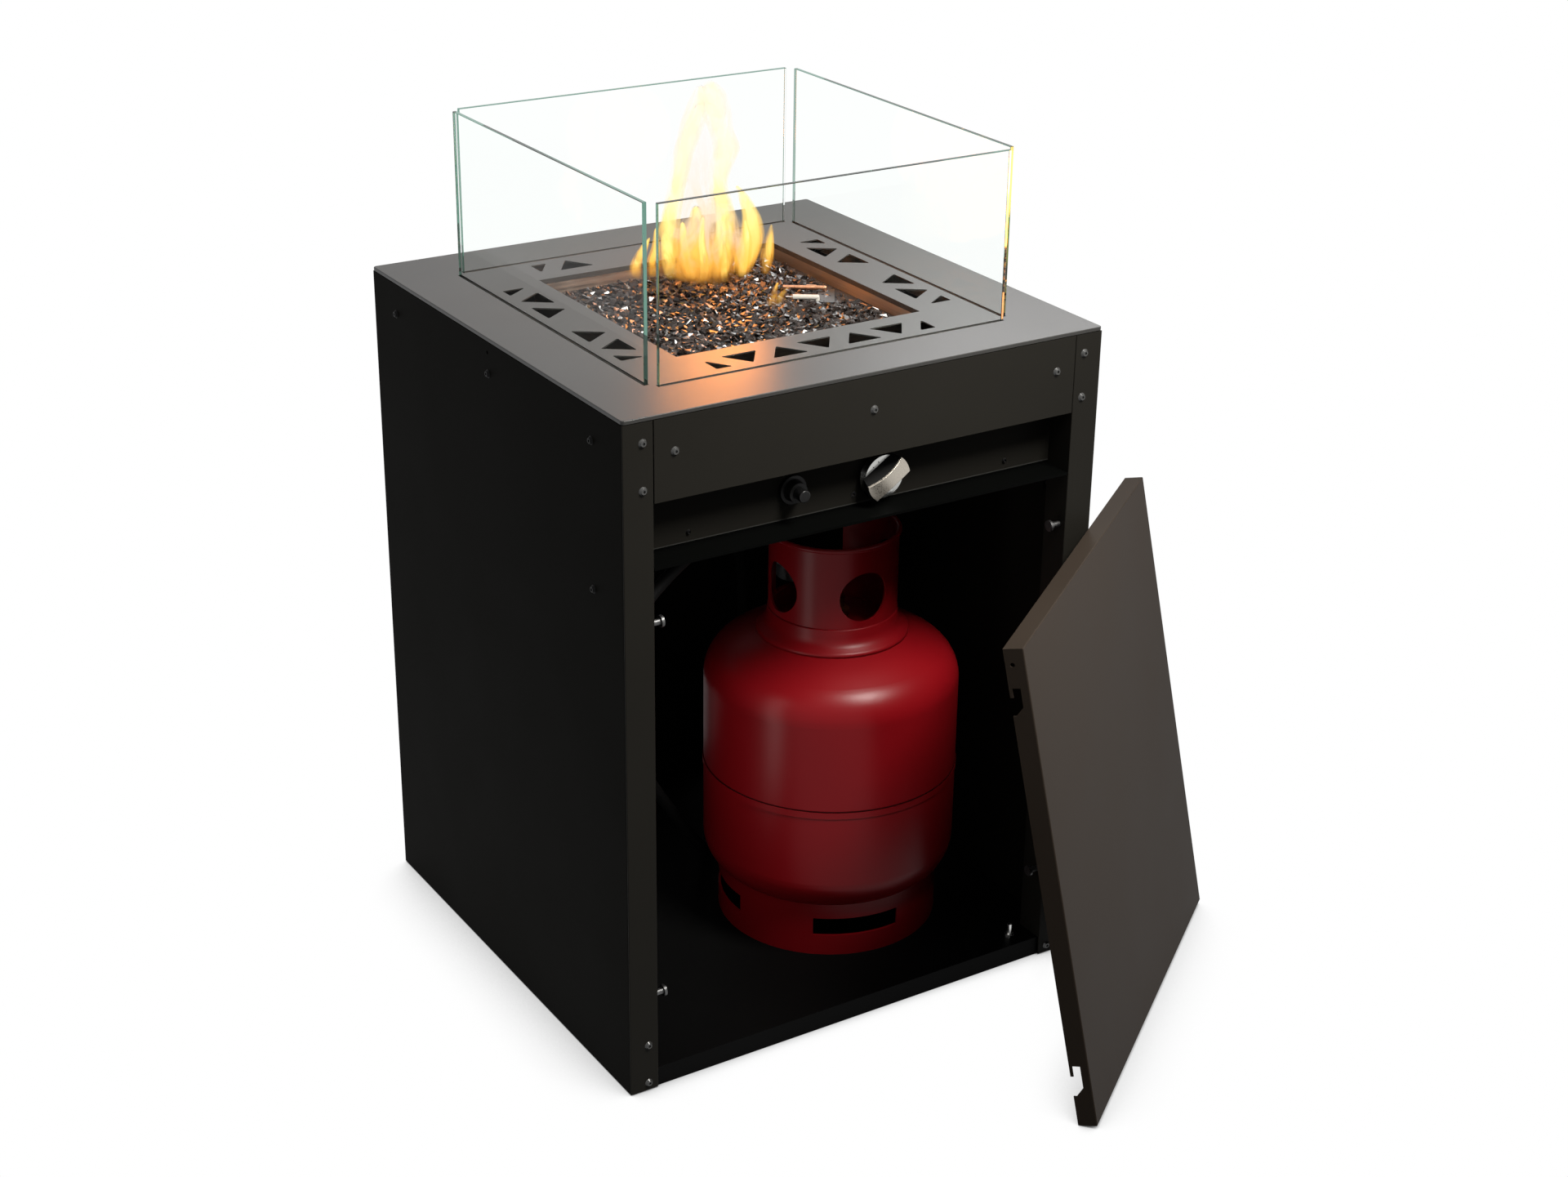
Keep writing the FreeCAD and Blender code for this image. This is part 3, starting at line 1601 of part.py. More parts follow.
sensor_foot = stem_foot(-value("sensor_back"), -value("sensor_side"))
spark_foot = stem_foot(value("spark_back"), value("spark_side"))
battery_end = panel_back + value("battery_depth")
button_x, button_z = value("button_x"), value("button_z")
routed(
    "spark_lead",
    [
        tuple(spark_foot),
        (spark_foot.x, spark_foot.y, stem_end - 40),
        (20, -130, button_z + 30),
        (button_x, battery_end + 45, button_z),
        (button_x, battery_end, button_z),
    ],
    value("lead_radius"),
)
valve_top = knob_z + value("valve_tall") / 2
valve_middle = panel_back + value("valve_depth") * 0.7
routed(
    "sensor_lead",
    [
        tuple(sensor_foot),
        (sensor_foot.x, sensor_foot.y, stem_end - 32),
        (90, -140, valve_top + 22),
        (knob_x + 8, valve_middle + 4, valve_top + 30),
        (knob_x + 8, valve_middle, valve_top),
    ],
    value("lead_radius"),
)

# Gas hose: hangs in a loop left of the cylinder and behind it, from valve to regulator

outlet_turn = Rotation(Vector(0, 0, 1), value("outlet_angle"))
tail_out = (
    value("outlet_reach") + value("touch_gap") + value("nut_length") + 2 * value("regulator_radius")
    + 1 + value("tail_reach") + value("ferrule_length")
)
hose_end = Vector(value("tank_x"), value("tank_y"), value("outlet_height")) + outlet_turn.multVec(
    Vector(tail_out, 0, 0)
)
hose_start = Vector(
    knob_x - value("valve_width") / 2 - 9 - value("ferrule_length"),
    panel_back + value("inlet_y"),
    knob_z - value("inlet_drop"),
)
hose_points = [
    tuple(hose_start),
    (hose_start.x - 62, hose_start.y, hose_start.z),
    (-150, -206, 604),
    (-200, -155, 520),
    (-206, -92, 415),
    (-172, -48, 308),
    (-112, -14, 207),
    (-52, 15, 119),
    (-5, 40, 55),
    (30, 88, 34),
    (62, 140, 34),
    (104, 170, 76),
    (133, 186, 150),
    (143, 192, 245),
    (138, 187, 335),
    (hose_end.x + 12, 168, 405),
    (hose_end.x + 4.2, hose_end.y + 60, value("outlet_height")),
    tuple(hose_end),
]
routed("gas_hose", hose_points, value("hose_radius"))

# Check and write

doc.recompute()
failed = [
    (item.Name, item.getStatusString()) for item in doc.Objects if {"Invalid", "Error"} & set(item.State)
]
for name, reason in failed:
    print("failed", name, reason, [user.Label for user in doc.getObject(name).InList])
if failed:
    raise RuntimeError("some objects failed")
for item in nodes:
    shape = item.Shape
    if shape.isNull() or not shape.isValid() or not shape.Solids:
        raise RuntimeError(f"{item.Label} has no valid shape")
for item in nodes:
    item.Shape.exportStep(os.path.join("parts", f"{item.Label}.step"))
print(len(nodes), "nodes written")
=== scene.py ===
# Looks of a gas fire pit table: coated steel, glass guard, crushed glass, flame and gas cylinder.
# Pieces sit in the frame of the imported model. Settings are in millimetres where mm multiplies them,
# and in metres for the camera, the lights and the floor.
import math
import random

import bmesh
import bpy
from mathutils import Matrix, Vector, noise


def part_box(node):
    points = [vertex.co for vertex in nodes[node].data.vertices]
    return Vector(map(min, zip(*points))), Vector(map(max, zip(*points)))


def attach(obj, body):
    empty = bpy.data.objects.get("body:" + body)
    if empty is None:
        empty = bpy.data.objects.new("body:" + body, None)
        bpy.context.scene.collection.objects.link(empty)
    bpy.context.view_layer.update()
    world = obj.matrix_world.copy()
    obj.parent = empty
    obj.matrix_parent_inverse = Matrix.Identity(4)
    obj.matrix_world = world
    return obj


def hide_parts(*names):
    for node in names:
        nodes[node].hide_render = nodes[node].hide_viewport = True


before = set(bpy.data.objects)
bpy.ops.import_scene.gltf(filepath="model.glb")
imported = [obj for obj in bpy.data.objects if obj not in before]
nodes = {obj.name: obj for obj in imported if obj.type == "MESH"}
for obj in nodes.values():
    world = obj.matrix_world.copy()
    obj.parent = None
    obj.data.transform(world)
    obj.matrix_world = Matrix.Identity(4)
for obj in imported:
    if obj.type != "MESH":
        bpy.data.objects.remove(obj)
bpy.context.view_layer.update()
mm = 0.001


def report(stage):
    print("stage:", stage)


# Camera

view = {
    "place": (-1.41298, -2.34869, 1.65970),
    "azimuth": -32.480,
    "elevation": 24.108,
    "roll": 0.832,
    "lens": 58.04,
    "sensor": 36,
    "farthest": 50,
}


def setCamera():
    lensData = bpy.data.cameras.new("photoCamera")
    lensData.lens = view["lens"]
    lensData.sensor_width = view["sensor"]
    lensData.clip_end = view["farthest"]
    camera = bpy.data.objects.new("photoCamera", lensData)
    turn = Matrix.Rotation(math.radians(view["azimuth"]), 4, "Z")
    tilt = Matrix.Rotation(math.radians(90 - view["elevation"]), 4, "X")
    roll = Matrix.Rotation(math.radians(view["roll"]), 4, "Z")
    camera.matrix_world = Matrix.Translation(view["place"]) @ turn @ tilt @ roll
    bpy.context.scene.collection.objects.link(camera)
    bpy.context.scene.camera = camera


setCamera()
report("camera")

# Gas hose: leaves the valve, hangs left of the cylinder, goes round behind it to the regulator

hose = {
    "diameter": 14,
    "length": 1.457,  # in metres
    "stepsAlong": 12,
    "stepsRound": 6,
    "route": [
        (-12, -226.5, 645),
        (-74, -226.5, 645),
        (-150, -206, 604),
        (-200, -155, 520),
        (-206, -92, 415),
        (-172, -48, 308),
        (-112, -14, 207),
        (-52, 15, 119),
        (-5, 40, 55),
        (30, 88, 34),
        (62, 140, 34),
        (104, 170, 76),
        (133, 186, 150),
        (143, 192, 245),
        (138, 187, 335),
        (117.8, 168, 405),
        (110, 119, 443),
        (105.8, 59, 443),
    ],
}


def makeHose():
    line = bpy.data.curves.new("gasHose", "CURVE")
    line.dimensions = "3D"
    spline = line.splines.new("NURBS")
    spline.points.add(len(hose["route"]) - 1)
    for point, place in zip(spline.points, hose["route"]):
        point.co = (*[amount * mm for amount in place], 1)
        point.radius = hose["diameter"] / 2 * mm
    spline.order_u = 3
    spline.use_endpoint_u = True
    spline.resolution_u = hose["stepsAlong"]
    line.bevel_depth = 1  # each point's radius is the hose's own
    line.bevel_resolution = hose["stepsRound"]
    line.use_fill_caps = True
    piece = bpy.data.objects.new("gasHose", line)
    bpy.context.scene.collection.objects.link(piece)
    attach(piece, "cabinet")
    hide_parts("gas_hose")
    return piece


gasHose = makeHose()
report("hose")

# Shader groups that several finishes share

streaks = {"detail": 3, "low": 0.3, "high": 0.7}
variation = {"bump": 0.0002, "sprayed": 0.05, "metalDown": 0.06, "metalUp": 0.08}


def newGroup(name, inputs, outputs):
    group = bpy.data.node_groups.new(name, "ShaderNodeTree")
    for label, kind, start in inputs:
        socket = group.interface.new_socket(label, in_out="INPUT", socket_type=kind)
        socket.default_value = start
    for label, kind in outputs:
        group.interface.new_socket(label, in_out="OUTPUT", socket_type=kind)
    return group, group.nodes.new("NodeGroupInput"), group.nodes.new("NodeGroupOutput")


def addNode(tree, kind, **settings):
    node = tree.nodes.new(kind)
    for name, setting in settings.items():
        setattr(node, name, setting)
    return node


def makeGrainGroup():
    # fine orange peel and a broad, faint mottle, as on sprayed or moulded surfaces, sized in mm
    group, given, result = newGroup(
        "sprayedGrain",
        [("Grain Size", "NodeSocketFloat", 0.8), ("Patch Size", "NodeSocketFloat", 120)],
        [("Height", "NodeSocketFloat"), ("Mottle", "NodeSocketFloat")],
    )
    place = addNode(group, "ShaderNodeTexCoord")
    for size, output, detail in (("Grain Size", "Height", 2), ("Patch Size", "Mottle", 3)):
        scale = addNode(group, "ShaderNodeMath", operation="DIVIDE")
        scale.inputs[0].default_value = 1 / mm
        texture = addNode(group, "ShaderNodeTexNoise")
        texture.inputs["Detail"].default_value = detail
        group.links.new(given.outputs[size], scale.inputs[1])
        group.links.new(scale.outputs[0], texture.inputs["Scale"])
        group.links.new(place.outputs["Object"], texture.inputs["Vector"])
        group.links.new(texture.outputs["Fac"], result.inputs[output])
    return group


def makeBrushGroup():
    # streaks drawn along one direction, for brushed, drawn and turned metal
    group, given, result = newGroup(
        "brushedStreaks",
        [("Stretch", "NodeSocketVector", (20, 900, 900))],
        [("Height", "NodeSocketFloat"), ("Streak", "NodeSocketFloat")],
    )
    place = addNode(group, "ShaderNodeTexCoord")
    stretch = addNode(group, "ShaderNodeVectorMath", operation="MULTIPLY")
    texture = addNode(group, "ShaderNodeTexNoise")
    texture.inputs["Scale"].default_value = 1
    texture.inputs["Detail"].default_value = streaks["detail"]
    contrast = addNode(group, "ShaderNodeMapRange")
    contrast.inputs["From Min"].default_value = streaks["low"]
    contrast.inputs["From Max"].default_value = streaks["high"]
    group.links.new(place.outputs["Object"], stretch.inputs[0])
    group.links.new(given.outputs["Stretch"], stretch.inputs[1])
    group.links.new(stretch.outputs["Vector"], texture.inputs["Vector"])
    group.links.new(texture.outputs["Fac"], contrast.inputs["Value"])
    group.links.new(texture.outputs["Fac"], result.inputs["Height"])
    group.links.new(contrast.outputs["Result"], result.inputs["Streak"])
    return group


grainGroup = makeGrainGroup()
brushGroup = makeBrushGroup()


def newMaterial(name):
    material = bpy.data.materials.new(name)
    material.use_nodes = True
    return material, material.node_tree, material.node_tree.nodes["Principled BSDF"]


def spread(tree, mask, low, high, target):
    # a mask from 0 to 1 becomes a range of values
    values = addNode(tree, "ShaderNodeMapRange")
    values.inputs["To Min"].default_value = low
    values.inputs["To Max"].default_value = high
    tree.links.new(mask, values.inputs["Value"])
    tree.links.new(values.outputs["Result"], target)


def tint(tree, mask, colour, change, target):
    # the mask shades a colour from darker to lighter by a share
    mix = addNode(tree, "ShaderNodeMix", data_type="RGBA")
    mix.inputs["A"].default_value = (*[part * (1 - change) for part in colour], 1)
    mix.inputs["B"].default_value = (*[min(1, part * (1 + change)) for part in colour], 1)
    tree.links.new(mask, mix.inputs["Factor"])
    tree.links.new(mix.outputs["Result"], target)


def bump(tree, height, strength, distance, target):
    relief = addNode(tree, "ShaderNodeBump")
    relief.inputs["Strength"].default_value = strength
    relief.inputs["Distance"].default_value = distance
    tree.links.new(height, relief.inputs["Height"])
    tree.links.new(relief.outputs["Normal"], target)


def sprayed(name, colour, roughness, specular, grain=0.8, relief=0.12, change=0.12):
    # paint, powder coat, plastic, rubber and glaze
    material, tree, shader = newMaterial(name)
    texture = addNode(tree, "ShaderNodeGroup", node_tree=grainGroup)
    texture.inputs["Grain Size"].default_value = grain
    tint(tree, texture.outputs["Mottle"], colour, change, shader.inputs["Base Color"])
    low = roughness - variation["sprayed"]
    high = roughness + variation["sprayed"]
    spread(tree, texture.outputs["Mottle"], low, high, shader.inputs["Roughness"])
    bump(tree, texture.outputs["Height"], relief, variation["bump"], shader.inputs["Normal"])
    shader.inputs["Specular IOR Level"].default_value = specular
    return material


def metal(name, colour, roughness, stretch, relief=0.05, change=0.15):
    # bare metal with streaks
    material, tree, shader = newMaterial(name)
    texture = addNode(tree, "ShaderNodeGroup", node_tree=brushGroup)
    texture.inputs["Stretch"].default_value = stretch
    shader.inputs["Metallic"].default_value = 1
    tint(tree, texture.outputs["Streak"], colour, change, shader.inputs["Base Color"])
    low = roughness - variation["metalDown"]
    high = roughness + variation["metalUp"]
    spread(tree, texture.outputs["Streak"], low, high, shader.inputs["Roughness"])
    bump(tree, texture.outputs["Height"], relief, variation["bump"], shader.inputs["Normal"])
    return material


coat = {
    # the front, side and inside coats are one black powder coat in lit and shaded copies: brighter and
    # glossier on the lit front, darker as painted shade on the sides, near black as painted shade
    # inside the bay
    "front": sprayed("blackPowderCoatLitFront", (0.011, 0.0102, 0.0085), 0.45, 0.04),
    "side": sprayed("blackSideCoatShadedCopy", (0.0078, 0.0074, 0.0062), 0.48, 0.006),
    "inside": sprayed("blackInnerCoatPaintedShade", (0.002, 0.002, 0.002), 0.5, 0.03),
    "top": sprayed("topPowderCoat", (0.024, 0.0235, 0.022), 0.32, 0.24, grain=0.7),
    "door": sprayed("doorPowderCoat", (0.029, 0.0222, 0.0172), 0.4, 0.012),
    # the screws are one black finish in two copies: brighter and glossier where the front is lit,
    # darker as painted shade on the sides and back
    "screw": sprayed("blackScrewFinishLitCopy", (0.03, 0.03, 0.029), 0.26, 0.5, grain=0.5),
    "shadedScrew": sprayed("shadedScrewFinish", (0.011, 0.011, 0.011), 0.35, 0.06, grain=0.5),
    "red": sprayed(
        "redCylinderPaint", (0.135, 0.002, 0.004), 0.36, 0.16, grain=1.6, relief=0.1, change=0.1
    ),
    # painted shade: the lap ring's dark colour stands in for the shadow in the step of the lap
    "lap": sprayed("lapShadow", (0.012, 0.0008, 0.001), 0.6, 0.02),
    "rubber": sprayed("hoseRubber", (0.004, 0.004, 0.004), 0.6, 0.03, grain=0.5, relief=0.2),
    "pad": sprayed("padRubber", (0.01, 0.01, 0.01), 0.75, 0.3, grain=0.5, relief=0.25),
    "plastic": sprayed("blackPlastic", (0.006, 0.006, 0.006), 0.32, 0.2, grain=0.4, relief=0.05),
    "cap": sprayed("capPlastic", (0.005, 0.005, 0.005), 0.24, 0.2, grain=0.4, relief=0.04),
    "glaze": sprayed("whiteGlaze", (0.34, 0.32, 0.29), 0.25, 0.4, grain=0.6, relief=0.03, change=0.05),
    "lead": sprayed("leadCover", (0.02, 0.02, 0.02), 0.5, 0.4, grain=0.4),
}
bare = {
    "steel": metal("brushedSteel", (0.5, 0.49, 0.47), 0.32, (15, 700, 700)),
    "tray": metal("warmTraySteel", (0.42, 0.36, 0.3), 0.35, (12, 12, 600)),
    "pin": metal("dullPinSteel", (0.09, 0.09, 0.09), 0.4, (500, 500, 90)),
    "zinc": metal("zincPlate", (0.62, 0.62, 0.6), 0.28, (500, 500, 90)),
    "brass": metal("turnedBrass", (0.56, 0.4, 0.17), 0.3, (90, 90, 900)),
    "copper": metal("drawnCopper", (0.5, 0.25, 0.14), 0.3, (90, 600, 600)),
    "chrome": metal("polishedChrome", (0.5, 0.5, 0.48), 0.14, (90, 90, 90), relief=0.01, change=0.04),
    "silver": metal("satinSilver", (0.46, 0.42, 0.36), 0.3, (700, 60, 700), relief=0.03, change=0.06),
    "cast": metal("castAlloy", (0.2, 0.205, 0.21), 0.45, (300, 300, 300), relief=0.25, change=0.2),
}

shelf = {
    "height": 632,
    "step": 0.5,
    # the first band is a painted highlight line along the bend, the second is painted shade on the
    # shelf below it
    "paintedBands": [(1.6, (0.03, 0.03, 0.028, 1)), (0.6, (0.0012, 0.0013, 0.0012, 1))],
}


def shelfCoat():
    # the control panel's coat, a darker and duller copy of the black powder coat for the recessed
    # panel, with painted shade on the shelf below it and a painted highlight line along the bend
    material = sprayed("blackPanelCoatPaintedShadeAndHighlight", (0.0098, 0.0092, 0.0078), 0.45, 0.012)
    tree = material.node_tree
    shader = tree.nodes["Principled BSDF"]
    painted = shader.inputs["Base Color"].links[0].from_socket
    place = addNode(tree, "ShaderNodeTexCoord")
    axes = addNode(tree, "ShaderNodeSeparateXYZ")
    tree.links.new(place.outputs["Object"], axes.inputs[0])
    for above, colour in shelf["paintedBands"]:
        low = addNode(tree, "ShaderNodeMapRange")
        low.inputs["From Min"].default_value = (shelf["height"] + above) * mm
        low.inputs["From Max"].default_value = (shelf["height"] + above + shelf["step"]) * mm
        mix = addNode(tree, "ShaderNodeMix", data_type="RGBA")
        mix.inputs["A"].default_value = colour
        tree.links.new(axes.outputs["Z"], low.inputs["Value"])
        tree.links.new(low.outputs["Result"], mix.inputs["Factor"])
        tree.links.new(painted, mix.inputs["B"])
        painted = mix.outputs["Result"]
    tree.links.new(painted, shader.inputs["Base Color"])
    return material


coat["shelf"] = shelfCoat()
finishOf = {
    coat["front"]: "left_post right_post apron",
    coat["shelf"]: "control_panel",
    # shaded copies of the powder coat: painted shade on the side panels and inside the bay
    coat["side"]: "left_panel right_panel",
    coat["inside"]: "base_pan back_panel top_frame top_spacers",
    coat["top"]: "top_plate",
    coat["door"]: "door_panel",
    coat["screw"]: "post_screws apron_screws",
    coat["shadedScrew"]: "side_screws back_screws panel_screws",
    coat["red"]: "tank_shell tank_foot tank_guard",
    coat["rubber"]: "gas_hose",
    coat["pad"]: "pane_pads glass_bed",
    coat["plastic"]: "knob_grip igniter_battery igniter_bezel valve_wheel panel_eyelet",
    coat["cap"]: "igniter_cap",
    coat["glaze"]: "spark_insulator",
    coat["lead"]: "spark_lead sensor_lead",
    bare["steel"]: "burner_ring heat_shield pane_channels",
    bare["tray"]: "burner_tray",
    bare["pin"]: "door_pins pilot_bracket",
    bare["zinc"]: "base_stud shield_posts mixer_tube hose_ferrules spark_tip",
    bare["brass"]: "gas_valve gas_jet tank_valve regulator_nut valve_plunger knob_stem",
    bare["copper"]: "feed_pipe flame_sensor",
    bare["chrome"]: "knob_skirt",
    bare["silver"]: "knob_face",
    bare["cast"]: "regulator",
}
for material, names in finishOf.items():
    for name in names.split():
        for holder in nodes[name].material_slots:
            holder.material = material
gasHose.data.materials.append(coat["rubber"])
report("finishes")


# Mesh helpers


def meshPiece(name, shape, body, slot, *materials):
    mesh = bpy.data.meshes.new(name)
    shape.to_mesh(mesh)
    shape.free()
    for material in materials:
        mesh.materials.append(material)
    piece = bpy.data.objects.new(name, mesh)
    bpy.context.scene.collection.objects.link(piece)
    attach(piece, body)
    return piece


def addBox(shape, low, high):
    # a box between two corners
    made = bmesh.ops.create_cube(shape, size=1)
    middle = (Vector(low) + Vector(high)) / 2
    bmesh.ops.scale(shape, verts=made["verts"], vec=Vector(high) - Vector(low))
    bmesh.ops.translate(shape, verts=made["verts"], vec=middle)
    return made["verts"]


def smoothAll(piece):
    for face in piece.data.polygons:
        face.use_smooth = True


# Glass guard: clear panes with green edges

pane = {
    "bevel": 0.6,
    "flat": 0.99,
    "clear": (0.985, 1.0, 0.992),
    "edge": (0.02, 0.09, 0.055),
    "clearBend": 1.1,
    "edgeBend": 1.45,
    "edgeRoughness": 0.05,
}


def glassMaterial(name, colour, roughness, bend):
    material, _, shader = newMaterial(name)
    shader.inputs["Base Color"].default_value = (*colour, 1)
    shader.inputs["Roughness"].default_value = roughness
    shader.inputs["IOR"].default_value = bend
    shader.inputs["Transmission Weight"].default_value = 1
    return material


clearGlass = glassMaterial("clearPaneGlass", pane["clear"], 0, pane["clearBend"])
edgeGlass = glassMaterial("greenPaneEdge", pane["edge"], pane["edgeRoughness"], pane["edgeBend"])


def makePane(node, body):
    low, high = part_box(node)
    shape = bmesh.new()
    addBox(shape, low, high)
    bmesh.ops.bevel(
        shape,
        geom=shape.edges[:],
        offset=pane["bevel"] * mm,
        affect="EDGES",
        segments=1,
        profile=0.5,
        material=-1,
    )
    size = high - low
    thin = min(range(3), key=lambda axis: size[axis])
    for face in shape.faces:
        face.material_index = 0 if abs(face.normal[thin]) > pane["flat"] else 1
    piece = meshPiece(f"{body}Glass", shape, body, "clear_glass", clearGlass, edgeGlass)
    piece.visible_shadow = False  # clear glass lets the flame's light out
    piece.visible_glossy = False
    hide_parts(node)


for node, body in (
    ("pane_front", "front_pane"),
    ("pane_right", "right_pane"),
    ("pane_back", "rear_pane"),
    ("pane_left", "left_pane"),
):
    makePane(node, body)
report("glass guard")

# Crushed glass on the bed

chips = {
    "seed": 11,
    "kinds": 16,
    "corners": 9,
    "shape": (0.5, 0.36, 0.24),
    "smallest": 9.0,
    "largest": 16.5,
    "spacing": 6.6,
    "scatter": 0.4,
    "turn": 6.283,
    "lean": 0.5,
    "mound": 3.0,
    "moundsPerMetre": 22,
    "lowest": -0.5,
    "highest": 2.2,
    "pilotRoom": 4,
    "pilotDrop": 2,
}
chipLook = {
    "colour": (0.012, 0.0075, 0.0055),
    "change": 0.9,
    "grain": 3,
    "patch": 14,
    "smooth": 0.04,
    "rough": 0.2,
    "relief": 0.15,
    "reliefDistance": 0.0006,
    "specular": 0.4,
    "bend": 1.5,
}


def chipMaterial():
    material, tree, shader = newMaterial("blackFireGlass")
    texture = addNode(tree, "ShaderNodeGroup", node_tree=grainGroup)
    texture.inputs["Grain Size"].default_value = chipLook["grain"]
    texture.inputs["Patch Size"].default_value = chipLook["patch"]
    mottle = texture.outputs["Mottle"]
    tint(tree, mottle, chipLook["colour"], chipLook["change"], shader.inputs["Base Color"])
    spread(tree, mottle, chipLook["smooth"], chipLook["rough"], shader.inputs["Roughness"])
    height = texture.outputs["Height"]
    bump(tree, height, chipLook["relief"], chipLook["reliefDistance"], shader.inputs["Normal"])
    shader.inputs["IOR"].default_value = chipLook["bend"]
    shader.inputs["Specular IOR Level"].default_value = chipLook["specular"]
    return material


def chipShapes(dice):
    # a few convex shards, each hulled from random corners in a flattened ball
    kinds = []
    for _ in range(chips["kinds"]):
        shard = bmesh.new()
        for _ in range(chips["corners"]):
            corner = Vector([dice.uniform(-1, 1) for _ in range(3)]).normalized()
            shard.verts.new([part * size for part, size in zip(corner, chips["shape"])])
        hull = bmesh.ops.convex_hull(shard, input=shard.verts)
        spare = [item for item in hull["geom_interior"] if isinstance(item, bmesh.types.BMVert)]
        bmesh.ops.delete(shard, geom=spare, context="VERTS")
        bmesh.ops.recalc_face_normals(shard, faces=shard.faces)
        mesh = bpy.data.meshes.new("shard")
        shard.to_mesh(mesh)
        shard.free()
        kinds.append(mesh)
    return kinds


def overPilot(x, y):
    low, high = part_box("pilot_bracket")
    room = chips["pilotRoom"] * mm
    return low.x - room < x < high.x + room and low.y - room < y < high.y + room


def makeChips():
    dice = random.Random(chips["seed"])
    kinds = chipShapes(dice)
    low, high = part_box("glass_bed")
    gathered = bmesh.new()
    step = chips["spacing"] * mm
    scatter = chips["scatter"]
    edge = chips["largest"] * mm * 0.5
    across = int((high.x - low.x - 2 * edge) / step)
    along = int((high.y - low.y - 2 * edge) / step)
    for row in range(along + 1):
        for column in range(across + 1):
            x = low.x + edge + (column + dice.uniform(-scatter, scatter)) * step
            y = low.y + edge + (row + dice.uniform(-scatter, scatter)) * step
            size = dice.uniform(chips["smallest"], chips["largest"]) * mm
            x = min(max(x, low.x + edge), high.x - edge)
            y = min(max(y, low.y + edge), high.y - edge)
            swell = noise.noise(Vector((x, y, 0)) * chips["moundsPerMetre"])
            lift = swell * chips["mound"] + dice.uniform(chips["lowest"], chips["highest"])
            if overPilot(x, y):
                lift = -chips["pilotDrop"]
            before = len(gathered.verts)
            gathered.from_mesh(dice.choice(kinds))
            gathered.verts.ensure_lookup_table()
            fresh = gathered.verts[before:]
            turn = Matrix.Rotation(dice.uniform(0, chips["turn"]), 4, "Z")
            tilt = Matrix.Rotation(dice.gauss(0, chips["lean"]), 4, "X")
            roll = Matrix.Rotation(dice.gauss(0, chips["lean"]), 4, "Y")
            place = Matrix.Translation((x, y, high.z + lift * mm))
            place = place @ turn @ tilt @ roll @ Matrix.Scale(size, 4)
            bmesh.ops.transform(gathered, matrix=place, verts=fresh)
    for mesh in kinds:
        bpy.data.meshes.remove(mesh)
    meshPiece("crushedGlass", gathered, "cabinet", "fire_glass", chipMaterial())


makeChips()
report("crushed glass")

# Flame: tongues of glowing gas, each a tapering tube through its own points with a paler core

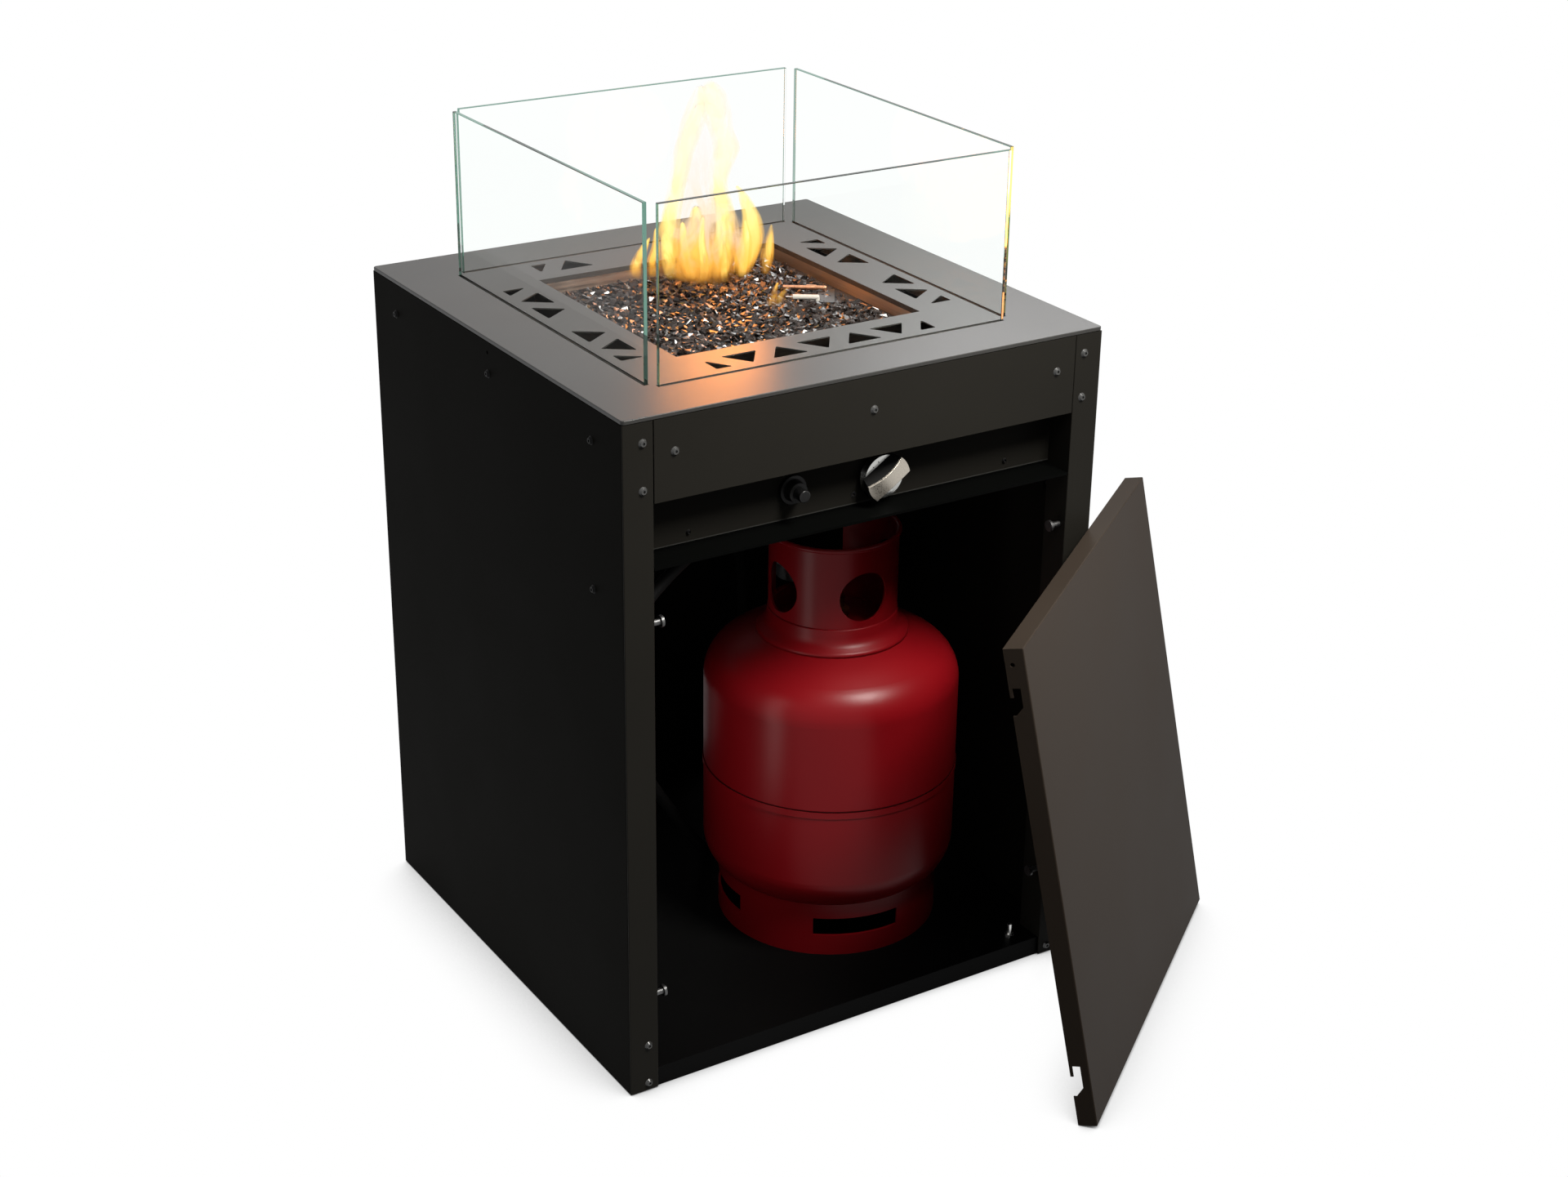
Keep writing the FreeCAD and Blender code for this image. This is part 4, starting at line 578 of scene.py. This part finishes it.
flame = {
    "sides": 16,
    "ripple": 2.6,
    "rippleSize": 26,
    "rippleApart": 7.3,
    "rippleTall": 0.5,
    "rippleAtFoot": 0.2,
    "rippleFullAt": 80,
    "core": 0.58,
    "foot": 776,
    "top": 1000,
    "fadeFrom": 777,
    "fadeTo": 806,
    "fadeStart": 0.04,
    "thinFrom": 0.1,
    "rim": 0.05,
    "swirl": {"Scale": 46, "Detail": 3, "Distortion": 0.8},
    "swirlStretch": (1, 1, 0.3),
    "swirlInColour": 0.55,
    "gaps": (0.4, 0.6, 0.12),
    "tongues": {
        "leftStrand": [
            (4, 135, 776, 16), (-2, 130, 800, 16), (-7, 125, 832, 14), (-3, 120, 862, 12),
            (4, 118, 895, 12), (12, 118, 930, 13), (22, 118, 958, 15), (32, 118, 980, 15),
            (36, 118, 1008, 7),
        ],
        "mainStrand": [
            (58, 112, 776, 18), (60, 112, 800, 22), (64, 114, 830, 20), (62, 116, 860, 15),
            (58, 118, 888, 12), (62, 118, 910, 15), (70, 118, 930, 17), (62, 118, 952, 15),
            (54, 118, 975, 20), (50, 118, 997, 19), (48, 118, 1011, 7),
        ],
        "rightLobe": [
            (84, 108, 778, 12), (94, 110, 800, 15), (102, 112, 822, 16), (102, 114, 845, 13),
            (92, 116, 868, 9), (84, 118, 884, 3),
        ],
        "rightTongue": [
            (106, 92, 778, 7), (110, 94, 795, 9), (116, 98, 815, 7), (122, 102, 836, 2),
        ],
        "leftTongue": [
            (-30, 152, 778, 11), (-32, 150, 795, 9), (-32, 140, 812, 6), (-26, 130, 834, 2),
        ],
        "leftFront": [
            (22, 116, 778, 10), (16, 117, 800, 9), (12, 118, 825, 6), (10, 118, 850, 2),
        ],
        "innerLeft": [
            (30, 104, 778, 9), (32, 104, 802, 10), (28, 106, 826, 7), (32, 108, 856, 2),
        ],
        "innerRight": [
            (78, 96, 778, 9), (80, 96, 800, 10), (86, 98, 824, 7), (84, 100, 848, 2),
        ],
        "frontShort": [
            (50, 88, 778, 8), (48, 88, 794, 8), (52, 90, 812, 5), (50, 92, 828, 1.5),
        ],
        "farLeft": [
            (-14, 146, 778, 9), (-16, 144, 796, 9), (-12, 140, 818, 6), (-15, 136, 842, 2),
        ],
        "behind": [
            (40, 138, 778, 20), (38, 138, 802, 20), (42, 136, 830, 15), (38, 134, 862, 5),
        ],
        "frontLick": [
            (50, -16, 778, 8), (52, -12, 786, 6), (60, -6, 794, 3.5), (66, -2, 801, 1.5),
        ],
        "frontLow": [
            (62, -8, 777, 8), (66, -6, 783, 7), (74, -2, 788, 4), (82, 2, 791, 1.5),
        ],
        "lowHaze": [
            (42, 116, 778, 44), (44, 116, 796, 47), (46, 116, 822, 43), (52, 116, 848, 33),
            (56, 116, 872, 14),
        ],
        "haze": [
            (30, 122, 778, 40), (28, 122, 805, 42), (26, 122, 850, 36), (30, 122, 900, 26),
            (38, 122, 950, 22), (44, 122, 985, 12),
        ],
    },
    "fires": {
        "outer": {
            "strength": 1.35, "dense": 0.8, "thin": 0.35, "sharp": 0.9,
            "stops": [
                (0.2, (0.95, 0.24, 0.015, 1)), (0.4, (1.0, 0.46, 0.05, 1)),
                (0.66, (1.0, 0.7, 0.2, 1)), (1.0, (1.0, 0.7, 0.46, 1)),
            ],
        },
        "core": {
            "strength": 1.6, "dense": 0.95, "thin": 0.5, "sharp": 0.85,
            "stops": [
                (0.2, (1.0, 0.42, 0.03, 1)), (0.38, (1.0, 0.66, 0.14, 1)),
                (0.66, (1.0, 0.84, 0.36, 1)), (1.0, (1.0, 0.76, 0.52, 1)),
            ],
        },
        "haze": {
            "strength": 1.15, "dense": 0.7, "thin": 0.14, "sharp": 0.95,
            "stops": [
                (0.2, (0.85, 0.24, 0.015, 1)), (0.44, (1.0, 0.46, 0.07, 1)),
                (0.62, (1.0, 0.74, 0.5, 1)), (1.0, (1.0, 0.82, 0.74, 1)),
            ],
        },
    },
}


def flameMaterial(name, fire):
    # glows more at its middle than at its rim, fades in above the bed and pales towards its top
    material, tree, shader = newMaterial(name)
    shader.inputs["Base Color"].default_value = (0, 0, 0, 1)
    shader.inputs["Roughness"].default_value = 1
    shader.inputs["Specular IOR Level"].default_value = 0
    shader.inputs["IOR"].default_value = 1
    shader.inputs["Emission Strength"].default_value = fire["strength"]
    place = addNode(tree, "ShaderNodeTexCoord")
    axes = addNode(tree, "ShaderNodeSeparateXYZ")
    squeeze = addNode(tree, "ShaderNodeMapping")
    squeeze.inputs["Scale"].default_value = flame["swirlStretch"]
    swirl = addNode(tree, "ShaderNodeTexNoise")
    for label, setting in flame["swirl"].items():
        swirl.inputs[label].default_value = setting
    link = tree.links.new
    link(place.outputs["Object"], axes.inputs[0])
    link(place.outputs["Object"], squeeze.inputs["Vector"])
    link(squeeze.outputs["Vector"], swirl.inputs["Vector"])

    def ranged(value, low, high, start=0, end=1, smooth=True):
        kind = "SMOOTHSTEP" if smooth else "LINEAR"
        node = addNode(tree, "ShaderNodeMapRange", interpolation_type=kind)
        labels = ("From Min", "From Max", "To Min", "To Max")
        for label, setting in zip(labels, (low, high, start, end)):
            node.inputs[label].default_value = setting
        link(value, node.inputs["Value"])
        return node.outputs["Result"]

    def times(one, other):
        node = addNode(tree, "ShaderNodeMath", operation="MULTIPLY")
        link(one, node.inputs[0])
        link(other, node.inputs[1])
        return node.outputs[0]

    height = ranged(axes.outputs["Z"], flame["foot"] * mm, flame["top"] * mm, smooth=False)
    mixed = addNode(tree, "ShaderNodeMath", operation="MULTIPLY_ADD")
    mixed.inputs[1].default_value = flame["swirlInColour"]
    colours = addNode(tree, "ShaderNodeValToRGB")
    ramp = colours.color_ramp
    while len(ramp.elements) < len(fire["stops"]):
        ramp.elements.new(0.5)
    for element, (at, colour) in zip(ramp.elements, fire["stops"]):
        element.position = at
        element.color = colour
    rim = addNode(tree, "ShaderNodeLayerWeight")
    rim.inputs["Blend"].default_value = 0.5
    link(swirl.outputs["Fac"], mixed.inputs[0])
    link(height, mixed.inputs[2])
    link(mixed.outputs[0], colours.inputs["Fac"])
    link(colours.outputs["Color"], shader.inputs["Emission Color"])
    thin, thick, least = flame["gaps"]
    body = ranged(rim.outputs["Facing"], fire["sharp"], flame["rim"])
    fade = ranged(height, flame["thinFrom"], 1, fire["dense"], fire["thin"])
    foot = ranged(axes.outputs["Z"], flame["fadeFrom"] * mm, flame["fadeTo"] * mm, flame["fadeStart"])
    patchy = ranged(swirl.outputs["Fac"], thin, thick, least)
    link(times(times(body, fade), times(foot, patchy)), shader.inputs["Alpha"])
    return material


def makeTongue(shape, points, share):
    # rings of one circle, each extruded from the one before and moved to its own point
    first = bmesh.ops.create_circle(
        shape, segments=flame["sides"], radius=points[0][3] * share * mm, cap_ends=False
    )
    x, y, z, _ = points[0]
    bmesh.ops.translate(shape, verts=first["verts"], vec=Vector((x, y, z)) * mm)
    ring = {edge for vertex in first["verts"] for edge in vertex.link_edges}
    firstRing = list(ring)
    for before, here in zip(points, points[1:]):
        grown = bmesh.ops.extrude_edge_only(shape, edges=list(ring))["geom"]
        corners = [item for item in grown if isinstance(item, bmesh.types.BMVert)]
        ring = {item for item in grown if isinstance(item, bmesh.types.BMEdge)}
        ring = {edge for edge in ring if all(end in corners for end in edge.verts)}
        middle = Vector(before[:3]) * mm
        bmesh.ops.translate(shape, verts=corners, vec=-middle)
        bmesh.ops.scale(shape, verts=corners, vec=Vector((1, 1, 1)) * (here[3] / before[3]))
        bmesh.ops.translate(shape, verts=corners, vec=Vector(here[:3]) * mm)
    bmesh.ops.contextual_create(shape, geom=firstRing)
    bmesh.ops.contextual_create(shape, geom=list(ring))


def rippled(shape, number):
    # the tongue's skin wavers, more towards its top
    bmesh.ops.subdivide_edges(shape, edges=shape.edges[:], cuts=1, use_grid_fill=True)
    bmesh.ops.recalc_face_normals(shape, faces=shape.faces)
    shape.normal_update()
    apart = Vector((number * flame["rippleApart"], 0, 0))
    for vertex in shape.verts:
        x, y, z = vertex.co / mm
        wave = noise.noise(Vector((x, y, z * flame["rippleTall"])) / flame["rippleSize"] + apart)
        above = (z - flame["foot"]) / flame["rippleFullAt"]
        rise = min(1, max(flame["rippleAtFoot"], above))
        vertex.co += vertex.normal * wave * rise * flame["ripple"] * mm


def makeFlame():
    fires = {name: flameMaterial(f"{name}Fire", fire) for name, fire in flame["fires"].items()}
    for number, (name, points) in enumerate(flame["tongues"].items()):
        soft = name.lower().endswith("haze")
        layers = {"haze": 1} if soft else {"outer": 1, "core": flame["core"]}
        for layer, share in layers.items():
            shape = bmesh.new()
            makeTongue(shape, points, share)
            rippled(shape, number)
            label = f"flame_{name}" if layer != "core" else f"flame_{name}Core"
            piece = meshPiece(label, shape, "cabinet", "clear_glass", fires[layer])
            softer = piece.modifiers.new("softer", "SUBSURF")
            softer.levels = 1
            softer.render_levels = 1
            smoothAll(piece)
            piece.visible_shadow = False


makeFlame()
report("flame")

# Small details on the solids: the valve guard's flared foot, the shell's lap line, the knob's marks

tank = {"x": 95.7, "y": -85.9, "steps": 96}
flare = [
    (76.35, 426), (77.3, 424), (77.9, 415), (79.9, 408.5), (83.6, 404),
    (88.4, 401), (90.4, 399), (90.6, 395.4), (76.35, 400.4),
]
joint = {"radius": 152.4, "height": 227, "tall": 1.6, "proud": 0.8}


def makeRing(name, profile, material):
    # a profile of (radius, height) turned round the axis of the cylinder
    shape = bmesh.new()
    corners = [shape.verts.new((radius * mm, 0, height * mm)) for radius, height in profile]
    for here, there in zip(corners, corners[1:] + corners[:1]):
        shape.edges.new((here, there))
    bmesh.ops.spin(
        shape,
        geom=shape.verts[:] + shape.edges[:],
        cent=(0, 0, 0),
        axis=(0, 0, 1),
        angle=2 * math.pi,
        steps=tank["steps"],
        use_merge=True,
    )
    bmesh.ops.translate(shape, verts=shape.verts, vec=Vector((tank["x"], tank["y"], 0)) * mm)
    bmesh.ops.recalc_face_normals(shape, faces=shape.faces)
    smoothAll(meshPiece(name, shape, "cylinder", "red_paint", material))


def makeFlare():
    # the flared foot of the valve guard, welded to the shell
    makeRing("guardFlare", flare, coat["red"])


def makeJointLine():
    # a dark ring at the lap where the shell's two halves meet, painted shade standing in for the
    # shadow in the step of the lap
    inner, outer = joint["radius"], joint["radius"] + joint["proud"]
    low, high = joint["height"], joint["height"] + joint["tall"]
    loop = ((inner, low), (outer, low), (outer, high), (inner, high))
    makeRing("jointLine", loop, coat["lap"])


marks = {
    "count": 11,
    "from": -120,
    "to": 120,
    "outer": 20.7,
    "inner": 18.5,
    "wide": 0.7,
    "proud": 0.15,
    "sunk": 1,
}


def makeMarks():
    # a generic scale of short lines on the skirt of the knob
    low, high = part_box("knob_skirt")
    middle = (low + high) / 2
    shape = bmesh.new()
    for number in range(marks["count"]):
        share = number / (marks["count"] - 1)
        angle = math.radians(marks["from"] + share * (marks["to"] - marks["from"]))
        start = Vector((-marks["wide"] / 2, -marks["proud"], marks["inner"])) * mm
        end = Vector((marks["wide"] / 2, marks["sunk"], marks["outer"])) * mm
        made = addBox(shape, start, end)
        turn = Matrix.Rotation(angle, 3, "Y")
        bmesh.ops.rotate(shape, verts=made, cent=(0, 0, 0), matrix=turn)
        bmesh.ops.translate(shape, verts=made, vec=(middle.x, low.y, middle.z))
    meshPiece("knobMarks", shape, "knob", "black_plastic", coat["plastic"])


makeFlare()
makeJointLine()
makeMarks()
report("details")

# Floor, world and lights

light = {
    "front": {
        "place": (0.3, -1.15, 2.0),
        "target": (0.05, -0.3, 0.82),
        "size": (0.6, 0.6),
        "spread": 60,
        "power": 9.5,
        "colour": (1, 0.97, 0.92),
    },
    "right": {
        "place": (2.2, -1.6, 1.9),
        "target": (0.2, -0.4, 0.4),
        "size": (1.4, 1.4),
        "power": 10,
        "colour": (1, 0.95, 0.9),
    },
    "above": {
        "place": (1.5, 1.0, 2.1),
        "target": (0.1, 0.0, 0.79),
        "size": (1.2, 1.2),
        "power": 20,
        "colour": (1, 1, 1),
    },
    "bay": {
        "place": (-0.236, -0.19, 0.33),
        "target": (0.0, -0.15, 0.3),
        "size": (0.06, 0.4),
        "power": 0.3,
        "colour": (1, 0.97, 0.94),
    },
}
glow = [
    {"place": (0.05, 0.11, 0.9), "size": 0.07, "power": 2.1, "colour": (1, 0.28, 0.03)},
    {"place": (0.03, 0.09, 0.83), "size": 0.05, "power": 0.9, "colour": (1, 0.3, 0.05)},
]
studio = {
    "worldLight": 0.25,
    "floorSize": 14,
    "floorDrop": 0.0006,
    "floorGrey": 0.08,
    "floorRoughness": 0.9,
    "contactReach": 0.16,
    "contactSamples": 16,
    "contactDark": 0.05,
    "contactWhite": 0.8,
}


def whiteToEyes(tree, others, target):
    # white for the camera, glossy and clear surfaces, and another strength for the rest
    path = addNode(tree, "ShaderNodeLightPath")
    either = addNode(tree, "ShaderNodeMath", operation="MAXIMUM")
    seeing = addNode(tree, "ShaderNodeMath", operation="MAXIMUM")
    tree.links.new(path.outputs["Is Camera Ray"], either.inputs[0])
    tree.links.new(path.outputs["Is Glossy Ray"], either.inputs[1])
    tree.links.new(either.outputs[0], seeing.inputs[0])
    tree.links.new(path.outputs["Is Transmission Ray"], seeing.inputs[1])
    spread(tree, seeing.outputs[0], others, 1, target)
    return seeing.outputs[0]


def setWorld():
    world = bpy.data.worlds.new("paleStudio")
    bpy.context.scene.world = world
    world.use_nodes = True
    background = world.node_tree.nodes["Background"]
    background.inputs["Color"].default_value = (1, 1, 1, 1)
    whiteToEyes(world.node_tree, studio["worldLight"], background.inputs["Strength"])


def setFloor():
    low = (0, 0, -studio["floorDrop"])
    bpy.ops.mesh.primitive_plane_add(size=studio["floorSize"], location=low)
    floor = bpy.context.object
    floor.name = "paleFloor"
    material, tree, shader = newMaterial("paleFloor")
    shader.inputs["Base Color"].default_value = (*[studio["floorGrey"]] * 3, 1)
    shader.inputs["Roughness"].default_value = studio["floorRoughness"]
    # for camera, glossy and clear rays the floor is white emission darkened by ambient occlusion near
    # the object, a painted contact shadow
    contact = addNode(tree, "ShaderNodeAmbientOcclusion", samples=studio["contactSamples"])
    contact.inputs["Distance"].default_value = studio["contactReach"]
    shade = addNode(tree, "ShaderNodeMapRange", interpolation_type="SMOOTHSTEP")
    shade.inputs["From Min"].default_value = studio["contactDark"]
    shade.inputs["From Max"].default_value = studio["contactWhite"]
    emission = addNode(tree, "ShaderNodeEmission")
    mix = addNode(tree, "ShaderNodeMixShader")
    seen = whiteToEyes(tree, 0, emission.inputs["Strength"])
    out = tree.nodes["Material Output"]
    tree.links.new(contact.outputs["AO"], shade.inputs["Value"])
    tree.links.new(shade.outputs["Result"], emission.inputs["Color"])
    tree.links.new(seen, mix.inputs["Fac"])
    tree.links.new(shader.outputs[0], mix.inputs[1])
    tree.links.new(emission.outputs[0], mix.inputs[2])
    tree.links.new(mix.outputs[0], out.inputs["Surface"])
    floor.data.materials.append(material)


def addLight(name, kind, lamp):
    data = bpy.data.lights.new(name, kind)
    data.energy = lamp["power"]
    data.color = lamp["colour"]
    item = bpy.data.objects.new(name, data)
    item.location = lamp["place"]
    item.visible_camera = False
    item.visible_transmission = False
    bpy.context.scene.collection.objects.link(item)
    return item


def setLights():
    for name, lamp in light.items():
        item = addLight(name, "AREA", lamp)
        item.data.shape = "RECTANGLE"
        item.data.size, item.data.size_y = lamp["size"]
        item.data.spread = math.radians(lamp.get("spread", 180))
        direction = Vector(lamp["target"]) - Vector(lamp["place"])
        item.rotation_euler = direction.to_track_quat("-Z", "Y").to_euler()
    for number, lamp in enumerate(glow):
        item = addLight(f"flameGlow{number}", "POINT", lamp)
        item.data.shadow_soft_size = lamp["size"]


setWorld()
setFloor()
setLights()
bpy.context.scene.view_settings.view_transform = "Standard"
report("floor and lights")
